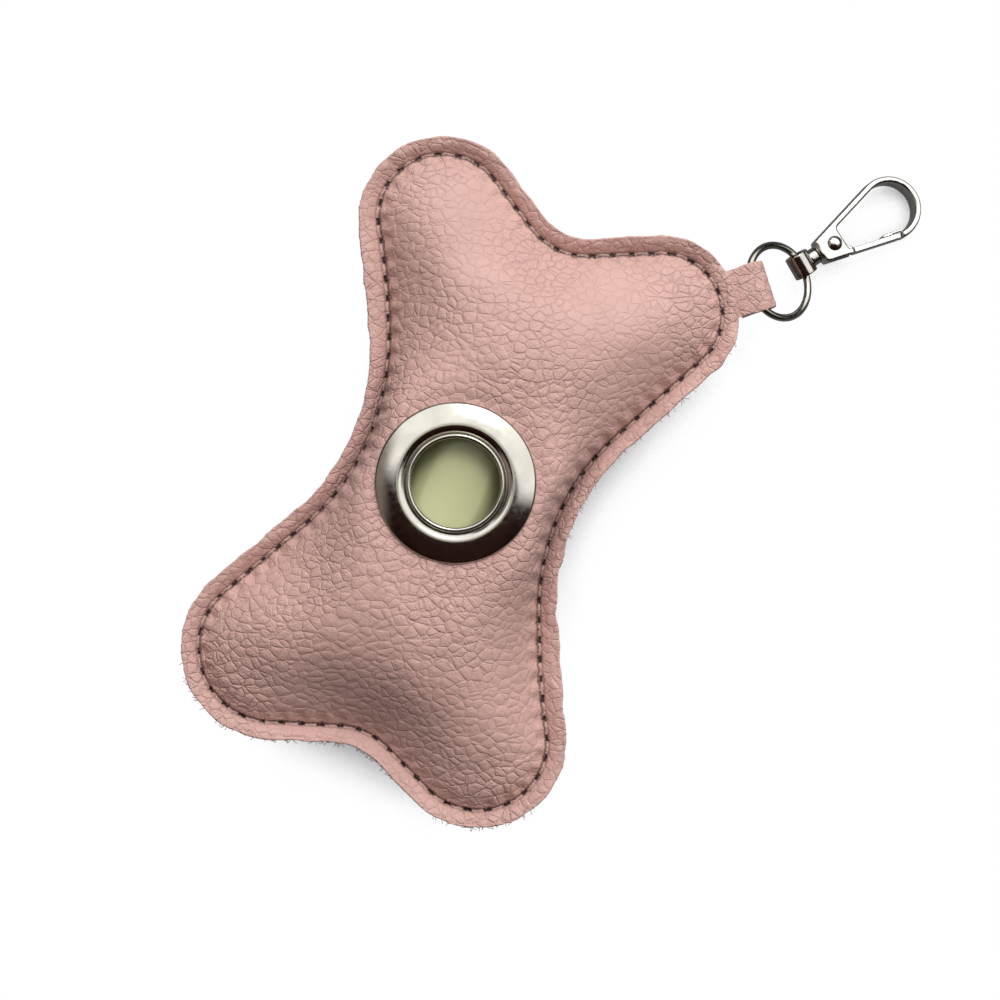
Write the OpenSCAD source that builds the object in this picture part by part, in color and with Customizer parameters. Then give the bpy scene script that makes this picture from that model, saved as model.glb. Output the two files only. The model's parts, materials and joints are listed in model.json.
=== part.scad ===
// Bone-shaped leather pouch that dispenses dog waste bags through a metal eyelet,
// with a zip in its back and a swivel clasp on its hanger ring.
// +Y runs along the bone towards the hanger, +Z points out of the eyelet, and the
// origin is on the eyelet's axis, level with the leather under its flange.

/* [Bone pattern] */
// Distance of the lobe centres from the middle, across the bone
lobe_x = 24.4; // [23.5:0.1:25.5]
// Distance of the lobe centres from the middle, along the bone
lobe_y = 48.4; // [46.5:0.1:52]
// Radius of the cut edge around each lobe
lobe_r = 17.8; // [16.8:0.1:18.6]
// Distance from the middle to the bottom of each end notch
notch_y = 57.8; // [56.8:0.1:60]
// Radius of each end notch
notch_r = 11.4; // [10:0.1:12]
// Half width of the bone at its waist
waist_x = 25; // [24:0.1:26.5]
// Radius of the waist curves
waist_r = 43; // [40:0.5:46]
// Share of the cutter's wander in the sewn outline
hand_cut = 1; // [0:0.1:1]

/* [Leather] */
// Thickness of the coated leather
leather_t = 1.2; // [0.9:0.1:1.5]
// Width of the flat flange outside the seam
flange_w = 4.9; // [4:0.1:5.5]
// Width of the front's side wall at the waist
front_wall = 4.5; // [4.2:0.1:5]
// Width of the back's side wall at the waist
back_wall = 4.6; // [4.2:0.1:5.2]
// Depth at which the front's lobes reach their crown
front_crown = 22; // [15:0.5:24]
// Depth at which the back's lobes reach the surface below
back_crown = 9; // [8:0.5:12]
// Fall of the front from the middle to the ends of its lobes
front_fall = 4.5; // [1.5:0.1:6]
// Rise of the back from its middle to the ends of its lobes
back_fall = 1.5; // [0.5:0.1:2]
// Height of the zip's valley above the surface the pouch lies on
valley_h = 3.3; // [3.1:0.1:4.5]

/* [Seams] */
// Pitch of the stitches around the edge
stitch_pitch = 4.1; // [3.5:0.1:5]
// Length of each stitch that shows around the edge
stitch_len = 2.3; // [1.8:0.1:2.8]
// Diameter of the sewing thread
thread_d = 0.6; // [0.4:0.1:0.8]
// Distance of the seam's thread from the puffed wall
stitch_gap = 0.7; // [0.6:0.1:1.2]
// Pitch of the stitches beside the zip
zip_stitch_pitch = 3; // [2.5:0.1:4]

/* [Eyelet] */
// Diameter of the eyelet's flange
eyelet_d = 33; // [30:0.5:34]
// Diameter of the hole that the bags come out of
hole_d = 18.2; // [16:0.1:20]
// Wall of the eyelet's barrel
barrel_t = 0.5; // [0.4:0.05:0.7]
// Height of the domed flange
dome_h = 1.5; // [1:0.1:2]
// Diameter of the washer inside
washer_d = 27; // [25:0.5:27.5]
// Thickness of the washer
washer_t = 0.5; // [0.4:0.1:0.7]
// Width of the barrel's edge clinched over the washer
clinch_w = 1.6; // [1.2:0.1:2]

/* [Bag roll] */
// Diameter of a full roll of bags
roll_d = 24; // [20:0.5:24.5]
// Length of the roll
roll_len = 58; // [52:1:60]
// Outer diameter of the cardboard core
core_d = 14; // [12:0.5:16]
// Wall of the cardboard core
core_t = 1; // [0.6:0.1:1.4]

/* [Zip] */
// Length of the closed chain
chain_len = 73; // [66:0.5:74]
// Pitch of the teeth along one tape
tooth_pitch = 2.5; // [2.2:0.1:3]
// Height of the teeth above the tape
tooth_h = 1.4; // [1.2:0.1:1.6]
// Width of each tape
tape_w = 8; // [7:0.1:9]
// Thickness of the tape
tape_t = 0.5; // [0.3:0.1:0.6]
// Gap between the tapes under the teeth
tape_gap = 1.6; // [1.5:0.1:1.8]
// Half width of the slot in the leather
slot_half = 4.6; // [4.4:0.1:5.2]
// Width of the slider
slider_w = 7.6; // [7.2:0.1:7.8]
// Length of the slider
slider_len = 9; // [8:0.1:10]
// Thickness of each slider plate
plate_t = 0.7; // [0.6:0.05:0.8]
// Length of the pull
pull_len = 17; // [12:0.5:20]
// Width of the pull
pull_w = 5; // [4:0.1:5.5]
// Thickness of the pull
pull_t = 0.9; // [0.7:0.05:0.95]

/* [Hanger] */
// Direction of the hanger loop, from +X
tab_turn = 41; // [36:0.5:45]
// Width of the leather loop
tab_w = 10.2; // [9:0.1:10.4]
// Thickness of the loop's leather
tab_t = 1; // [0.8:0.05:1.2]
// Distance of the ring's bar from the pouch's edge
loop_out = 4; // [3.9:0.1:5]
// Drop of the ring's bar below the seam
loop_drop = 3; // [2.6:0.1:3.6]
// Mean diameter of the ring
ring_mean_d = 16; // [15.4:0.1:18]
// Diameter of the ring's wire
ring_wire = 1.6; // [1.4:0.1:1.7]
// Tilt of the ring below the level
ring_tilt = 34; // [26:1:38]
// Place of the clasp around the ring, from its far point
eye_place = 16; // [8:1:24]

/* [Swivel clasp] */
// Outer diameter of the swivel's barrel
eye_d = 5.2; // [5:0.1:5.6]
// Width of the swivel's barrel
eye_w = 5; // [4:0.1:5.4]
// Diameter of the swivel's hole
eye_hole = 2.9; // [2.8:0.05:3.1]
// Diameter of the swivel's neck
neck_d = 1.8; // [1.6:0.1:2]
// Distance from the ring's wire to the hook's base
hook_base = 4.6; // [4.5:0.1:5.2]
// Width of the hook's base
base_w = 5.3; // [5:0.1:6]
// Distance from the hook's base to the middle of its bow
bow_out = 18.3; // [17.5:0.1:20]
// Outer radius of the bow
bow_r = 7.05; // [6.8:0.05:7.6]
// Thickness of the hook's strip
strip_t = 1.4; // [1.2:0.1:1.6]
// Depth of the hook's strip
hook_depth = 4.6; // [4.2:0.1:5]
// Length of the plate that carries the gate's pin
plate_len = 5.8; // [5.6:0.1:6.4]
// Distance from the hook's base to the gate's pin
pin_out = 3.6; // [3.55:0.05:3.8]
// Diameter of the gate's pin
pin_d = 1.6; // [1.4:0.1:1.8]
// Diameter of the pin's domed heads
pin_head_d = 3.3; // [3:0.1:3.6]
// Depth of the gate
gate_depth = 3.6; // [3.2:0.1:4]

/* [Hidden] */
$fn = 64;

// Clearances
play = 0.3;      // between a loose piece and what holds it
slip = 0.15;     // between the slider and the chain or tape
turn_fit = 0.07; // radial, of a pin or neck in its hole

// Levels, from the leather under the eyelet down to the surface below
hole_r = hole_d / 2;
barrel_r = hole_r + barrel_t;
clinch_z = -leather_t - washer_t - barrel_t;
roll_r = roll_d / 2;
roll_z = clinch_z - play - roll_r;
seam_z = roll_z;
tape_top = roll_z - roll_r - play - plate_t - slip;
tape_bottom = tape_top - tape_t;
zip_face = tape_bottom - leather_t;
table_z = zip_face - valley_h;

// Zip: places along Y of the chain, the slider parked at its closed end, and the stops
chain_end = chain_len / 2 - 0.5;
chain_start = chain_end - chain_len;
post_y = chain_end + 1.2;
slider_y = post_y + 1.2 - slider_len / 2;
stop_y = post_y + 1.6;
stop_len = 1.6;
tape_end = stop_y + stop_len + 3.4;
slot_end = tape_end - 2.6;

// Valley of the back around the zip: half its flat width and length, and its slopes
valley_x = slot_half + 5.2;
valley_y = slot_end + 5.4;
valley_rise = 4;

// Outline: lobes turn left and valleys turn right, anticlockwise from the hanger's lobe.
// Each row of wander is how far the sewn bag strays there from the pattern: x, y, radius.
wander = [
    [1.2, 1.0, -1.4], [0.9, -0.9, -0.1], [0, 1.2, -0.3], [-0.3, 1.5, 1.1],
    [2.3, 1.6, 1.3], [2.2, -2.0, 0.7], [0.7, 0.7, 0.6], [0.7, 1.7, 0]
];
pattern = [
    [lobe_x, lobe_y, lobe_r], [0, notch_y + notch_r, notch_r],
    [-lobe_x, lobe_y, lobe_r], [-waist_x - waist_r, 0, waist_r],
    [-lobe_x, -lobe_y, lobe_r], [0, -notch_y - notch_r, notch_r],
    [lobe_x, -lobe_y, lobe_r], [waist_x + waist_r, 0, waist_r]
];
rounds = pattern + hand_cut * wander;

function wrap(a) = a - 360 * round(a / 360);
function along(a) = [cos(a), sin(a)];
function flat(p) = [p[0], p[1]];
function smooth(x, low, high) =
    let (t = min(max((x - low) / (high - low), 0), 1)) t * t * (3 - 2 * t);

// One piece of the outline, moved inwards by inset: an arc and the straight after it, as
// [centre, radius, side, first angle, turn, heading of the straight, its length]
function side_of(i) = i % 2 == 0 ? 1 : -1;
function radius_of(i, inset) = rounds[i][2] - side_of(i) * inset;
function reach(i, inset) = side_of(i) * radius_of(i, inset);
function leap(i) = flat(rounds[(i + 1) % 8]) - flat(rounds[i]);
function heading(i) =
    atan2(leap(i)[1], leap(i)[0]) + asin((reach(i, 0) - reach((i + 1) % 8, 0)) / norm(leap(i)));
function piece(i, inset) =
    let (
        before = heading((i + 7) % 8),
        after = heading(i),
        across = reach(i, 0) - reach((i + 1) % 8, 0)
    )
    [
        flat(rounds[i]), radius_of(i, inset), side_of(i), before - 90 * side_of(i),
        wrap(after - before), after, sqrt(pow(norm(leap(i)), 2) - across * across)
    ];
function outline(inset) = [for (i = [0:7]) piece(i, inset)];
function arc_len(e) = abs(e[4]) * PI / 180 * e[1];
// A point of a piece's arc or straight, with the angle of its outward normal
function on_arc(e, t) =
    let (a = e[3] + e[4] * t) concat(e[0] + e[1] * along(a), [a + 90 * e[2] - 90]);
function on_straight(e, t) =
    let (p = on_arc(e, 1)) concat(flat(p) + t * e[6] * along(e[5]), [e[5] - 90]);

// A point at share f of the way from one lobe's tip to the next
function side_point(o, k, f) =
    let (
        a = o[2 * k], b = o[2 * k + 1], c = o[(2 * k + 2) % 8],
        l1 = arc_len(a) / 2, l2 = l1 + a[6], l3 = l2 + arc_len(b), l4 = l3 + b[6],
        l5 = l4 + arc_len(c) / 2, d = f * l5
    )
    d <= l1 ? on_arc(a, 0.5 + 0.5 * d / l1) :
    d <= l2 ? on_straight(a, (d - l1) / (l2 - l1)) :
    d <= l3 ? on_arc(b, (d - l2) / (l3 - l2)) :
    d <= l4 ? on_straight(b, (d - l3) / (l4 - l3)) :
    on_arc(c, 0.5 * (d - l4) / (l5 - l4));

// Distance from a point inside to the outline
function to_piece(e, p) =
    let (
        v = p - e[0],
        a = wrap(atan2(v[1], v[0]) - e[3] - e[4] / 2),
        w = p - flat(on_arc(e, 1)),
        s = w * along(e[5])
    )
    min(
        abs(a) <= abs(e[4]) / 2 + 0.01 ? abs(norm(v) - e[1]) : lobe_y,
        s >= -0.01 && s <= e[6] + 0.01 ? abs(w * along(e[5] + 90)) : lobe_y
    );
function to_edge(o, p) = min([for (e = o) to_piece(e, p)]);

// Places along the whole outline, each with its share of the length
pulls = 40;
function side_length(o, k) =
    arc_len(o[2 * k]) / 2 + o[2 * k][6] + arc_len(o[2 * k + 1]) + o[2 * k + 1][6]
    + arc_len(o[(2 * k + 2) % 8]) / 2;
function ring(o) =
    [for (k = [0:3]) for (i = [0:pulls - 1])
        concat(flat(side_point(o, k, (i + 0.5) / pulls)), [side_length(o, k) / pulls])];
// Depth of a point in the bone: its distance from the seam, evened out where several sides
// hold the leather down
function depth(o, r, p) =
    let (
        d = to_edge(o, p),
        pull = [for (q = r) q[2] / pow(norm(p - flat(q)), 3)] * [for (q = r) 1],
        even = smooth(d, 1.5, 6)
    )
    d + (sqrt(2 / pull) - d) * even;

// Height of the puffed leather from the depth: 0 at the seam, 1 from the depth w on. The front
// is steep at the waist, where the eyelet stands close to the seam, and slopes over the lobes.
function puff(d, w) = 1 - pow(1 - min(max(d, 0) / w, 1), 2);
function front_top(p, d) =
    let (
        lobe = smooth(abs(p[1]), 0.12 * lobe_y, 0.75 * lobe_y),
        fall = front_fall * smooth(abs(p[1]), 0.6 * lobe_y, 1.24 * lobe_y),
        swell = pow(puff(d, front_wall + (front_crown - front_wall) * lobe), (1 + lobe) / 2)
    )
    seam_z - (seam_z + leather_t + fall) * swell;
function back_top(p, d) =
    let (
        lobe = smooth(abs(p[1]), 0.25 * lobe_y, 0.91 * lobe_y),
        fall = back_fall * smooth(abs(p[1]), 0.7 * lobe_y, 1.24 * lobe_y),
        swell = sqrt(puff(d, back_wall + (back_crown - back_wall) * lobe)),
        z = seam_z - (seam_z - leather_t - table_z - fall) * swell,
        valley = (1 - smooth(abs(p[0]), valley_x, valley_x + valley_rise))
            * (1 - smooth(abs(p[1]), valley_y, valley_y + 1.4 * valley_rise))
    )
    z + (zip_face + leather_t - z) * valley * min(d / 3, 1);

// Patch between the four sides of the bone, finer towards its edge
cells_u = 24;
cells_v = 38;
function ease(t) = (1 - cos(180 * t)) / 2;
function patch(low, high, left, right) =
    [for (j = [0:cells_v]) for (i = [0:cells_u])
        let (u = ease(i / cells_u), v = ease(j / cells_v))
        (1 - v) * low[i] + v * high[i] + (1 - u) * left[j] + u * right[j]
        - (1 - u) * (1 - v) * low[0] - u * (1 - v) * low[cells_u]
        - (1 - u) * v * high[0] - u * v * high[cells_u]];
function inward(q, d) = flat(q) - d * along(q[2]);
function cell(i, j) = j * (cells_u + 1) + i;
rim_cells = concat(
    [for (i = [0:cells_u - 1]) cell(i, 0)], [for (j = [0:cells_v - 1]) cell(cells_u, j)],
    [for (i = [cells_u:-1:1]) cell(i, cells_v)], [for (j = [cells_v:-1:1]) cell(0, j)]
);

// A leather panel: its puffed outside and inside, and the flat flange around them
module panel(face) {
    o = outline(flange_w);
    r = ring(o);
    low = [for (i = [0:cells_u]) side_point(o, 2, ease(i / cells_u))];
    high = [for (i = [0:cells_u]) side_point(o, 0, 1 - ease(i / cells_u))];
    left = [for (j = [0:cells_v]) side_point(o, 1, 1 - ease(j / cells_v))];
    right = [for (j = [0:cells_v]) side_point(o, 3, ease(j / cells_v))];
    function moved(row, d) = [for (q = row) inward(q, d)];
    outer = patch(moved(low, 0), moved(high, 0), moved(left, 0), moved(right, 0));
    inner = patch(
        moved(low, leather_t), moved(high, leather_t),
        moved(left, leather_t), moved(right, leather_t)
    );
    rim = concat(
        [for (i = [0:cells_u - 1]) low[i]], [for (j = [0:cells_v - 1]) right[j]],
        [for (i = [cells_u:-1:1]) high[i]], [for (j = [cells_v:-1:1]) left[j]]
    );
    edge = moved(rim, -flange_w);
    function top(p, d) = face > 0 ? front_top(p, d) : back_top(p, d);
    cells = (cells_u + 1) * (cells_v + 1);
    n = len(rim);
    points = concat(
        [for (p = outer) [p[0], p[1], top(p, depth(o, r, p)) + face * leather_t]],
        [for (p = inner) [p[0], p[1], top(p, depth(o, r, p) - leather_t)]],
        [for (p = edge) [p[0], p[1], seam_z + face * leather_t]],
        [for (p = edge) [p[0], p[1], seam_z]]
    );
    function quad(a, b, c, d) = face > 0 ? [[a, d, c], [a, c, b]] : [[a, b, c], [a, c, d]];
    skins = [for (j = [0:cells_v - 1]) for (i = [0:cells_u - 1])
        let (a = cell(i, j), b = cell(i + 1, j), c = cell(i + 1, j + 1), d = cell(i, j + 1))
        each concat(quad(a, b, c, d), quad(cells + a, cells + d, cells + c, cells + b))];
    flanges = [for (k = [0:n - 1])
        let (m = (k + 1) % n, a = rim_cells[k], b = rim_cells[m], e = 2 * cells)
        each concat(
            quad(a, e + k, e + m, b),
            quad(e + k, e + n + k, e + n + m, e + m),
            quad(e + n + k, cells + a, cells + b, e + n + m)
        )];
    polyhedron(points, concat(skins, flanges), convexity = 6);
}

// Rounded slot in the X-Y plane
module slot(half_w, half_l, low, high) {
    translate([-half_w, half_w - half_l, low]) cube([2 * half_w, 2 * (half_l - half_w), high - low]);
    for (s = [-1, 1]) translate([0, s * (half_l - half_w), low]) cylinder(r = half_w, h = high - low);
}

// Stitches: a round dash of thread lying on the leather at each place
module dash(p, turn, z, length) {
    translate([p[0], p[1], z]) rotate([0, 90, turn])
        cylinder(d = thread_d, h = length, center = true, $fn = 16);
}

leather = "rosybrown";
nickel = "dimgray";

module front_panel() {
    color(leather) difference() {
        panel(1);
        translate([0, 0, seam_z]) cylinder(r = barrel_r + 0.1, h = -seam_z + 1);
        at_tab() tab_root();
    }
}

module back_panel() {
    color(leather) difference() {
        panel(-1);
        slot(slot_half, slot_end, zip_face - 1, tape_bottom + 1);
        at_tab() tab_root();
    }
}

module seam_stitching() {
    o = outline(flange_w - stitch_gap);
    color("mistyrose") for (k = [0:3]) {
        count = round(side_length(o, k) / stitch_pitch);
        for (i = [0:count - 1], face = [-1, 1]) {
            q = side_point(o, k, (i + 0.5) / count);
            dash(q, q[2] + 90, seam_z + face * (leather_t + thread_d / 2), stitch_len);
        }
    }
}

// Eyelet: a domed flange with a rolled lip, and a barrel clinched over the washer
lip_r = barrel_t;
lip_z = 0.85;
module eyelet() {
    outer = eyelet_d / 2;
    inner = barrel_r + 0.5;
    steps = 12;
    dome = [for (i = [0:steps]) let (t = i / steps)
        [outer - (outer - inner) * t, 0.15 + (dome_h - 0.15) * pow(sin(180 * pow(t, 0.62)), 0.7)
            + 0.4 * smooth(t, 0.6, 1)]];
    color(nickel) rotate_extrude($fn = 128) {
        polygon(concat([[outer, 0]], dome, [[barrel_r - 0.05, 0.5], [hole_r, 0.5], [hole_r, clinch_z],
            [barrel_r + clinch_w, clinch_z], [barrel_r + clinch_w, clinch_z + barrel_t],
            [barrel_r, clinch_z + barrel_t], [barrel_r, 0]]));
        translate([hole_r + lip_r, lip_z]) circle(r = lip_r, $fn = 32);
        translate([hole_r, 0]) square([2 * lip_r, lip_z]);
    }
}

module eyelet_washer() {
    color(nickel) translate([0, 0, -leather_t - washer_t]) difference() {
        cylinder(d = washer_d, h = washer_t);
        translate([0, 0, -1]) cylinder(r = barrel_r + 0.1, h = washer_t + 2);
    }
}

module tube_along_y(outer, inner, length) {
    translate([0, length / 2, roll_z]) rotate([90, 0, 0]) difference() {
        cylinder(r = outer, h = length);
        translate([0, 0, -1]) cylinder(r = inner, h = length + 2);
    }
}
module bag_roll() { color("palegoldenrod") tube_along_y(roll_r, core_d / 2, roll_len); }
module roll_core() { color("burlywood") tube_along_y(core_d / 2, core_d / 2 - core_t, roll_len); }

// Zip: teeth, stops and the stitches that hold the tapes
tooth_t = tooth_pitch / 2 - 0.4;
tooth_root = 2.6;
tooth_tip = 0.5;

module tape(s) {
    color("thistle") translate([s > 0 ? tape_gap / 2 : -tape_gap / 2 - tape_w, -tape_end, tape_bottom])
        cube([tape_w, 2 * tape_end, tape_t]);
}
module zip_tape_left() { tape(-1); }
module zip_tape_right() { tape(1); }

module teeth(s) {
    count = floor(chain_len / tooth_pitch);
    color("silver") for (i = [0:count - 1]) {
        y = chain_end - (i + (s > 0 ? 0.25 : 0.75)) * tooth_pitch;
        translate([s > 0 ? -tooth_tip : -tooth_root, y - tooth_t / 2, tape_bottom - tooth_h])
            cube([tooth_root + tooth_tip, tooth_t, tooth_h]);
    }
}
module zip_teeth_left() { teeth(-1); }
module zip_teeth_right() { teeth(1); }

module zip_top_stops() {
    color("silver") for (s = [-1, 1])
        translate([s > 0 ? tape_gap / 2 : -tooth_root, stop_y, tape_bottom - tooth_h])
            cube([tooth_root - tape_gap / 2, stop_len, tooth_h]);
}
module zip_bottom_stop() {
    color("silver") translate([-tooth_root, chain_start - stop_len - 0.2, tape_bottom - tooth_h])
        cube([2 * tooth_root, stop_len, tooth_h]);
}

module zip_stitching() {
    x = slot_half + 1.6;
    z = zip_face - thread_d / 2;
    rows = round(2 * slot_end / zip_stitch_pitch);
    ends = round(2 * x / zip_stitch_pitch);
    color("mistyrose") for (s = [-1, 1]) {
        for (i = [0:rows - 1])
            dash([s * x, -slot_end + (i + 0.5) * 2 * slot_end / rows], 90, z, 0.6 * zip_stitch_pitch);
        for (i = [0:ends - 1])
            dash([-x + (i + 0.5) * 2 * x / ends, s * (slot_end + 1.2)], 0, z, 0.6 * zip_stitch_pitch);
    }
}

// Slider: two plates joined by a post at its front, rails, and a bail for the pull
slider_face = tape_bottom - tooth_h - slip;
slider_back = slider_face - plate_t;
pivot_z = slider_back - 0.1 - pull_t / 2;
bail_t = 0.6;
bail_in = 1.4;
bail_out = 2.2;
module zip_slider() {
    color("silver") translate([0, slider_y, 0]) {
        for (z = [slider_back, tape_top + slip])
            translate([-slider_w / 2, -slider_len / 2, z]) cube([slider_w, slider_len, plate_t]);
        translate([-0.5, post_y - slider_y - 0.8, slider_face]) cube([1, 1.6, tape_top + slip - slider_face]);
        for (s = [-1, 1])
            translate([s > 0 ? slider_w / 2 - 0.6 : -slider_w / 2, -slider_len / 2, slider_face])
                cube([0.6, slider_len, tooth_h]);
        difference() {
            bail_low = pivot_z - pull_t / 2 - 0.1 - bail_t;
            translate([-0.6, -bail_out, bail_low]) cube([1.2, 2 * bail_out, slider_back - bail_low]);
            translate([-1, -bail_in, bail_low + bail_t]) cube([2, 2 * bail_in, slider_back - bail_low]);
        }
    }
}

module zip_pull() {
    arm = 3.4;
    color("silver") translate([0, slider_y, pivot_z]) {
        rotate([0, 90, 0]) cylinder(d = pull_t, h = pull_w - 0.6, center = true);
        difference() {
            union() {
                translate([-pull_w / 2 + 0.3, -arm - 1, -pull_t / 2]) cube([pull_w - 0.6, arm + 1, pull_t]);
                translate([-pull_w / 2, -pull_len + pull_w / 2, -pull_t / 2])
                    cube([pull_w, pull_len - pull_w / 2 - arm, pull_t]);
                translate([0, -pull_len + pull_w / 2, 0]) cylinder(d = pull_w, h = pull_t, center = true);
            }
            translate([-0.9, -arm, -pull_t]) cube([1.8, arm, 2 * pull_t]);
            translate([0, -pull_len + pull_w / 2, 0]) cylinder(d = pull_w - 2.4, h = 2 * pull_t, center = true);
        }
        rotate([0, 90, 0]) cylinder(d = pull_t, h = 2.2, center = true);
    }
}

// Frames of the hanger's chain: the pouch's edge, the ring, the swivel and the hook
ring_r = ring_mean_d / 2;
hanger_place = 39;
tab_edge = flat(rounds[0]) + rounds[0][2] * along(hanger_place);
module at_tab() { translate([tab_edge[0], tab_edge[1], seam_z]) rotate([0, 0, tab_turn]) children(); }
module at_bar() { at_tab() translate([loop_out, 0, -loop_drop]) children(); }
module at_ring() { at_bar() rotate([0, ring_tilt, 0]) translate([ring_r, 0, 0]) children(); }
module at_eye() { at_ring() rotate([0, 0, eye_place]) translate([ring_r, 0, 0]) children(); }
module at_clasp() { at_eye() rotate([0, -clasp_lift, 0]) children(); }
module at_hook() { at_clasp() rotate([clasp_roll, 0, 0]) children(); }

// The hook lies level across, with the end of its bow just above the surface
eye_z = seam_z - loop_drop - ring_r * sin(ring_tilt) * (1 + cos(eye_place));
bow_x = hook_base + bow_out;
clasp_dip = asin((eye_z - table_z - hook_depth / 2 - 0.05) / (bow_x + bow_r));
lift_span = norm([cos(eye_place) * sin(ring_tilt), cos(ring_tilt)]);
clasp_lift = atan2(cos(eye_place) * sin(ring_tilt), cos(ring_tilt)) - asin(sin(clasp_dip) / lift_span);
clasp_roll = -atan2(
    sin(eye_place) * sin(ring_tilt),
    sin(clasp_lift) * cos(eye_place) * sin(ring_tilt) + cos(clasp_lift) * cos(ring_tilt)
);

// Leather loop: its ends are skived thin and sewn between the two flanges
skive_t = 0.5;
loop_r = loop_out - 0.15 - tab_t;
module tab_root() {
    translate([-flange_w + 0.3, -tab_w / 2, -skive_t]) cube([flange_w + 0.2, tab_w, 2 * skive_t]);
}
module hanger_tab() {
    color(leather) at_tab() {
        difference() {
            tab_root();
            translate([-0.25, -tab_w, -1]) cube([2, 2 * tab_w, 2]);
        }
        translate([0, tab_w / 2, 0]) rotate([90, 0, 0]) linear_extrude(tab_w) difference() {
            union() {
                translate([loop_out, -loop_drop]) circle(r = loop_r + tab_t);
                translate([-0.25, -tab_t]) square([loop_out + 0.25, loop_r + 2 * tab_t - loop_drop]);
            }
            translate([loop_out, -loop_drop]) circle(r = loop_r);
            translate([-1, -tab_t - 1]) square([1.2, 1 + tab_t - skive_t]);
            translate([-1, skive_t]) square([1.1, tab_t]);
        }
    }
}

module hanger_ring() {
    color(nickel) at_ring() rotate_extrude() translate([ring_r, 0]) circle(d = ring_wire, $fn = 32);
}

// Swivel: a barrel around the ring's wire, with a necked stud that turns in the hook
neck_end = hook_base + 1.7;
module swivel_eye() {
    color(nickel) at_clasp() {
        difference() {
            union() {
                rotate([90, 0, 0]) cylinder(d = eye_d, h = eye_w, center = true);
                rotate([0, 90, 0]) cylinder(d = neck_d, h = neck_end);
                translate([eye_d / 2 - 0.5, 0, 0]) rotate([0, 90, 0])
                    cylinder(r = 1.9, h = hook_base - 0.7 - eye_d / 2 + 0.5);
            }
            rotate([90, 0, 0]) cylinder(d = eye_hole, h = eye_w + 1, center = true);
        }
    }
}
head_t = 0.6;
module swivel_head() {
    color(nickel) at_clasp() translate([neck_end - head_t, 0, 0]) rotate([0, 90, 0]) difference() {
        cylinder(r = 1.6, h = head_t);
        translate([0, 0, -1]) cylinder(d = neck_d, h = head_t + 2);
    }
}

// Hook: a teardrop strip, tangent to the bow from the corners of its base
base_half = base_w / 2;
flare = asin(bow_r / norm([bow_out, base_half])) - atan2(base_half, bow_out);
function strip_point(s, n) =
    [hook_base + s * cos(flare) + n * sin(flare), -base_half - s * sin(flare) + n * cos(flare)];
pin_x = hook_base + pin_out;
gate_start = plate_len + 0.7;
gate_reach = norm(strip_point((bow_out - bow_r * sin(flare)) / cos(flare) + 0.4, 0) - [pin_x, 0]);
cheek_gap = 2.8;
module teardrop(n, start) {
    r = bow_r - n;
    tip = [bow_x - r * sin(flare), r * cos(flare)];
    low = base_half + start * tan(flare) - n / cos(flare);
    translate([bow_x, 0]) circle(r = r);
    polygon([[hook_base + start, low], tip, [tip[0], -tip[1]], [hook_base + start, -low]]);
}
module gate_gap(n, reach) {
    intersection() {
        translate([pin_x, 0]) circle(r = reach);
        polygon([strip_point(gate_start, n), strip_point(gate_start + bow_out, n),
            strip_point(gate_start + bow_out, -3), strip_point(gate_start, -3)]);
    }
}
module hook_body() {
    color(nickel) at_hook() {
        difference() {
            linear_extrude(hook_depth, center = true) difference() {
                teardrop(0, 0);
                teardrop(strip_t, plate_len);
                gate_gap(strip_t + 1, gate_reach + 0.15);
            }
            translate([hook_base - 1, 0, 0]) rotate([0, 90, 0]) cylinder(d = neck_d + 2 * turn_fit, h = 3);
            translate([hook_base + 1, 0, 0]) rotate([0, 90, 0]) cylinder(r = 1.75, h = 0.85);
            linear_extrude(cheek_gap, center = true)
                polygon([[hook_base + 1, -base_w], [hook_base + 1, 1.75], [hook_base + plate_len + 1, 1.75],
                    [hook_base + plate_len + 1, -base_w]]);
            translate([pin_x, 0, 0]) cylinder(d = pin_d, h = hook_depth + 1, center = true);
        }
        translate([hook_base - 0.6, 0, 0]) rotate([0, 90, 0]) difference() {
            cylinder(r = 2.2, h = 0.6);
            translate([0, 0, -1]) cylinder(d = neck_d + 2 * turn_fit, h = 3);
        }
    }
}

module gate_pin() {
    dome = 0.7;
    head_r = pin_head_d / 2;
    sphere_r = (head_r * head_r + dome * dome) / (2 * dome);
    color(nickel) at_hook() translate([pin_x, 0, 0]) {
        cylinder(d = pin_d, h = hook_depth, center = true);
        for (s = [0, 1]) mirror([0, 0, s]) translate([0, 0, hook_depth / 2]) intersection() {
            translate([0, 0, dome - sphere_r]) sphere(r = sphere_r);
            cylinder(r = head_r + 0.5, h = dome + 0.1);
        }
    }
}

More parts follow.
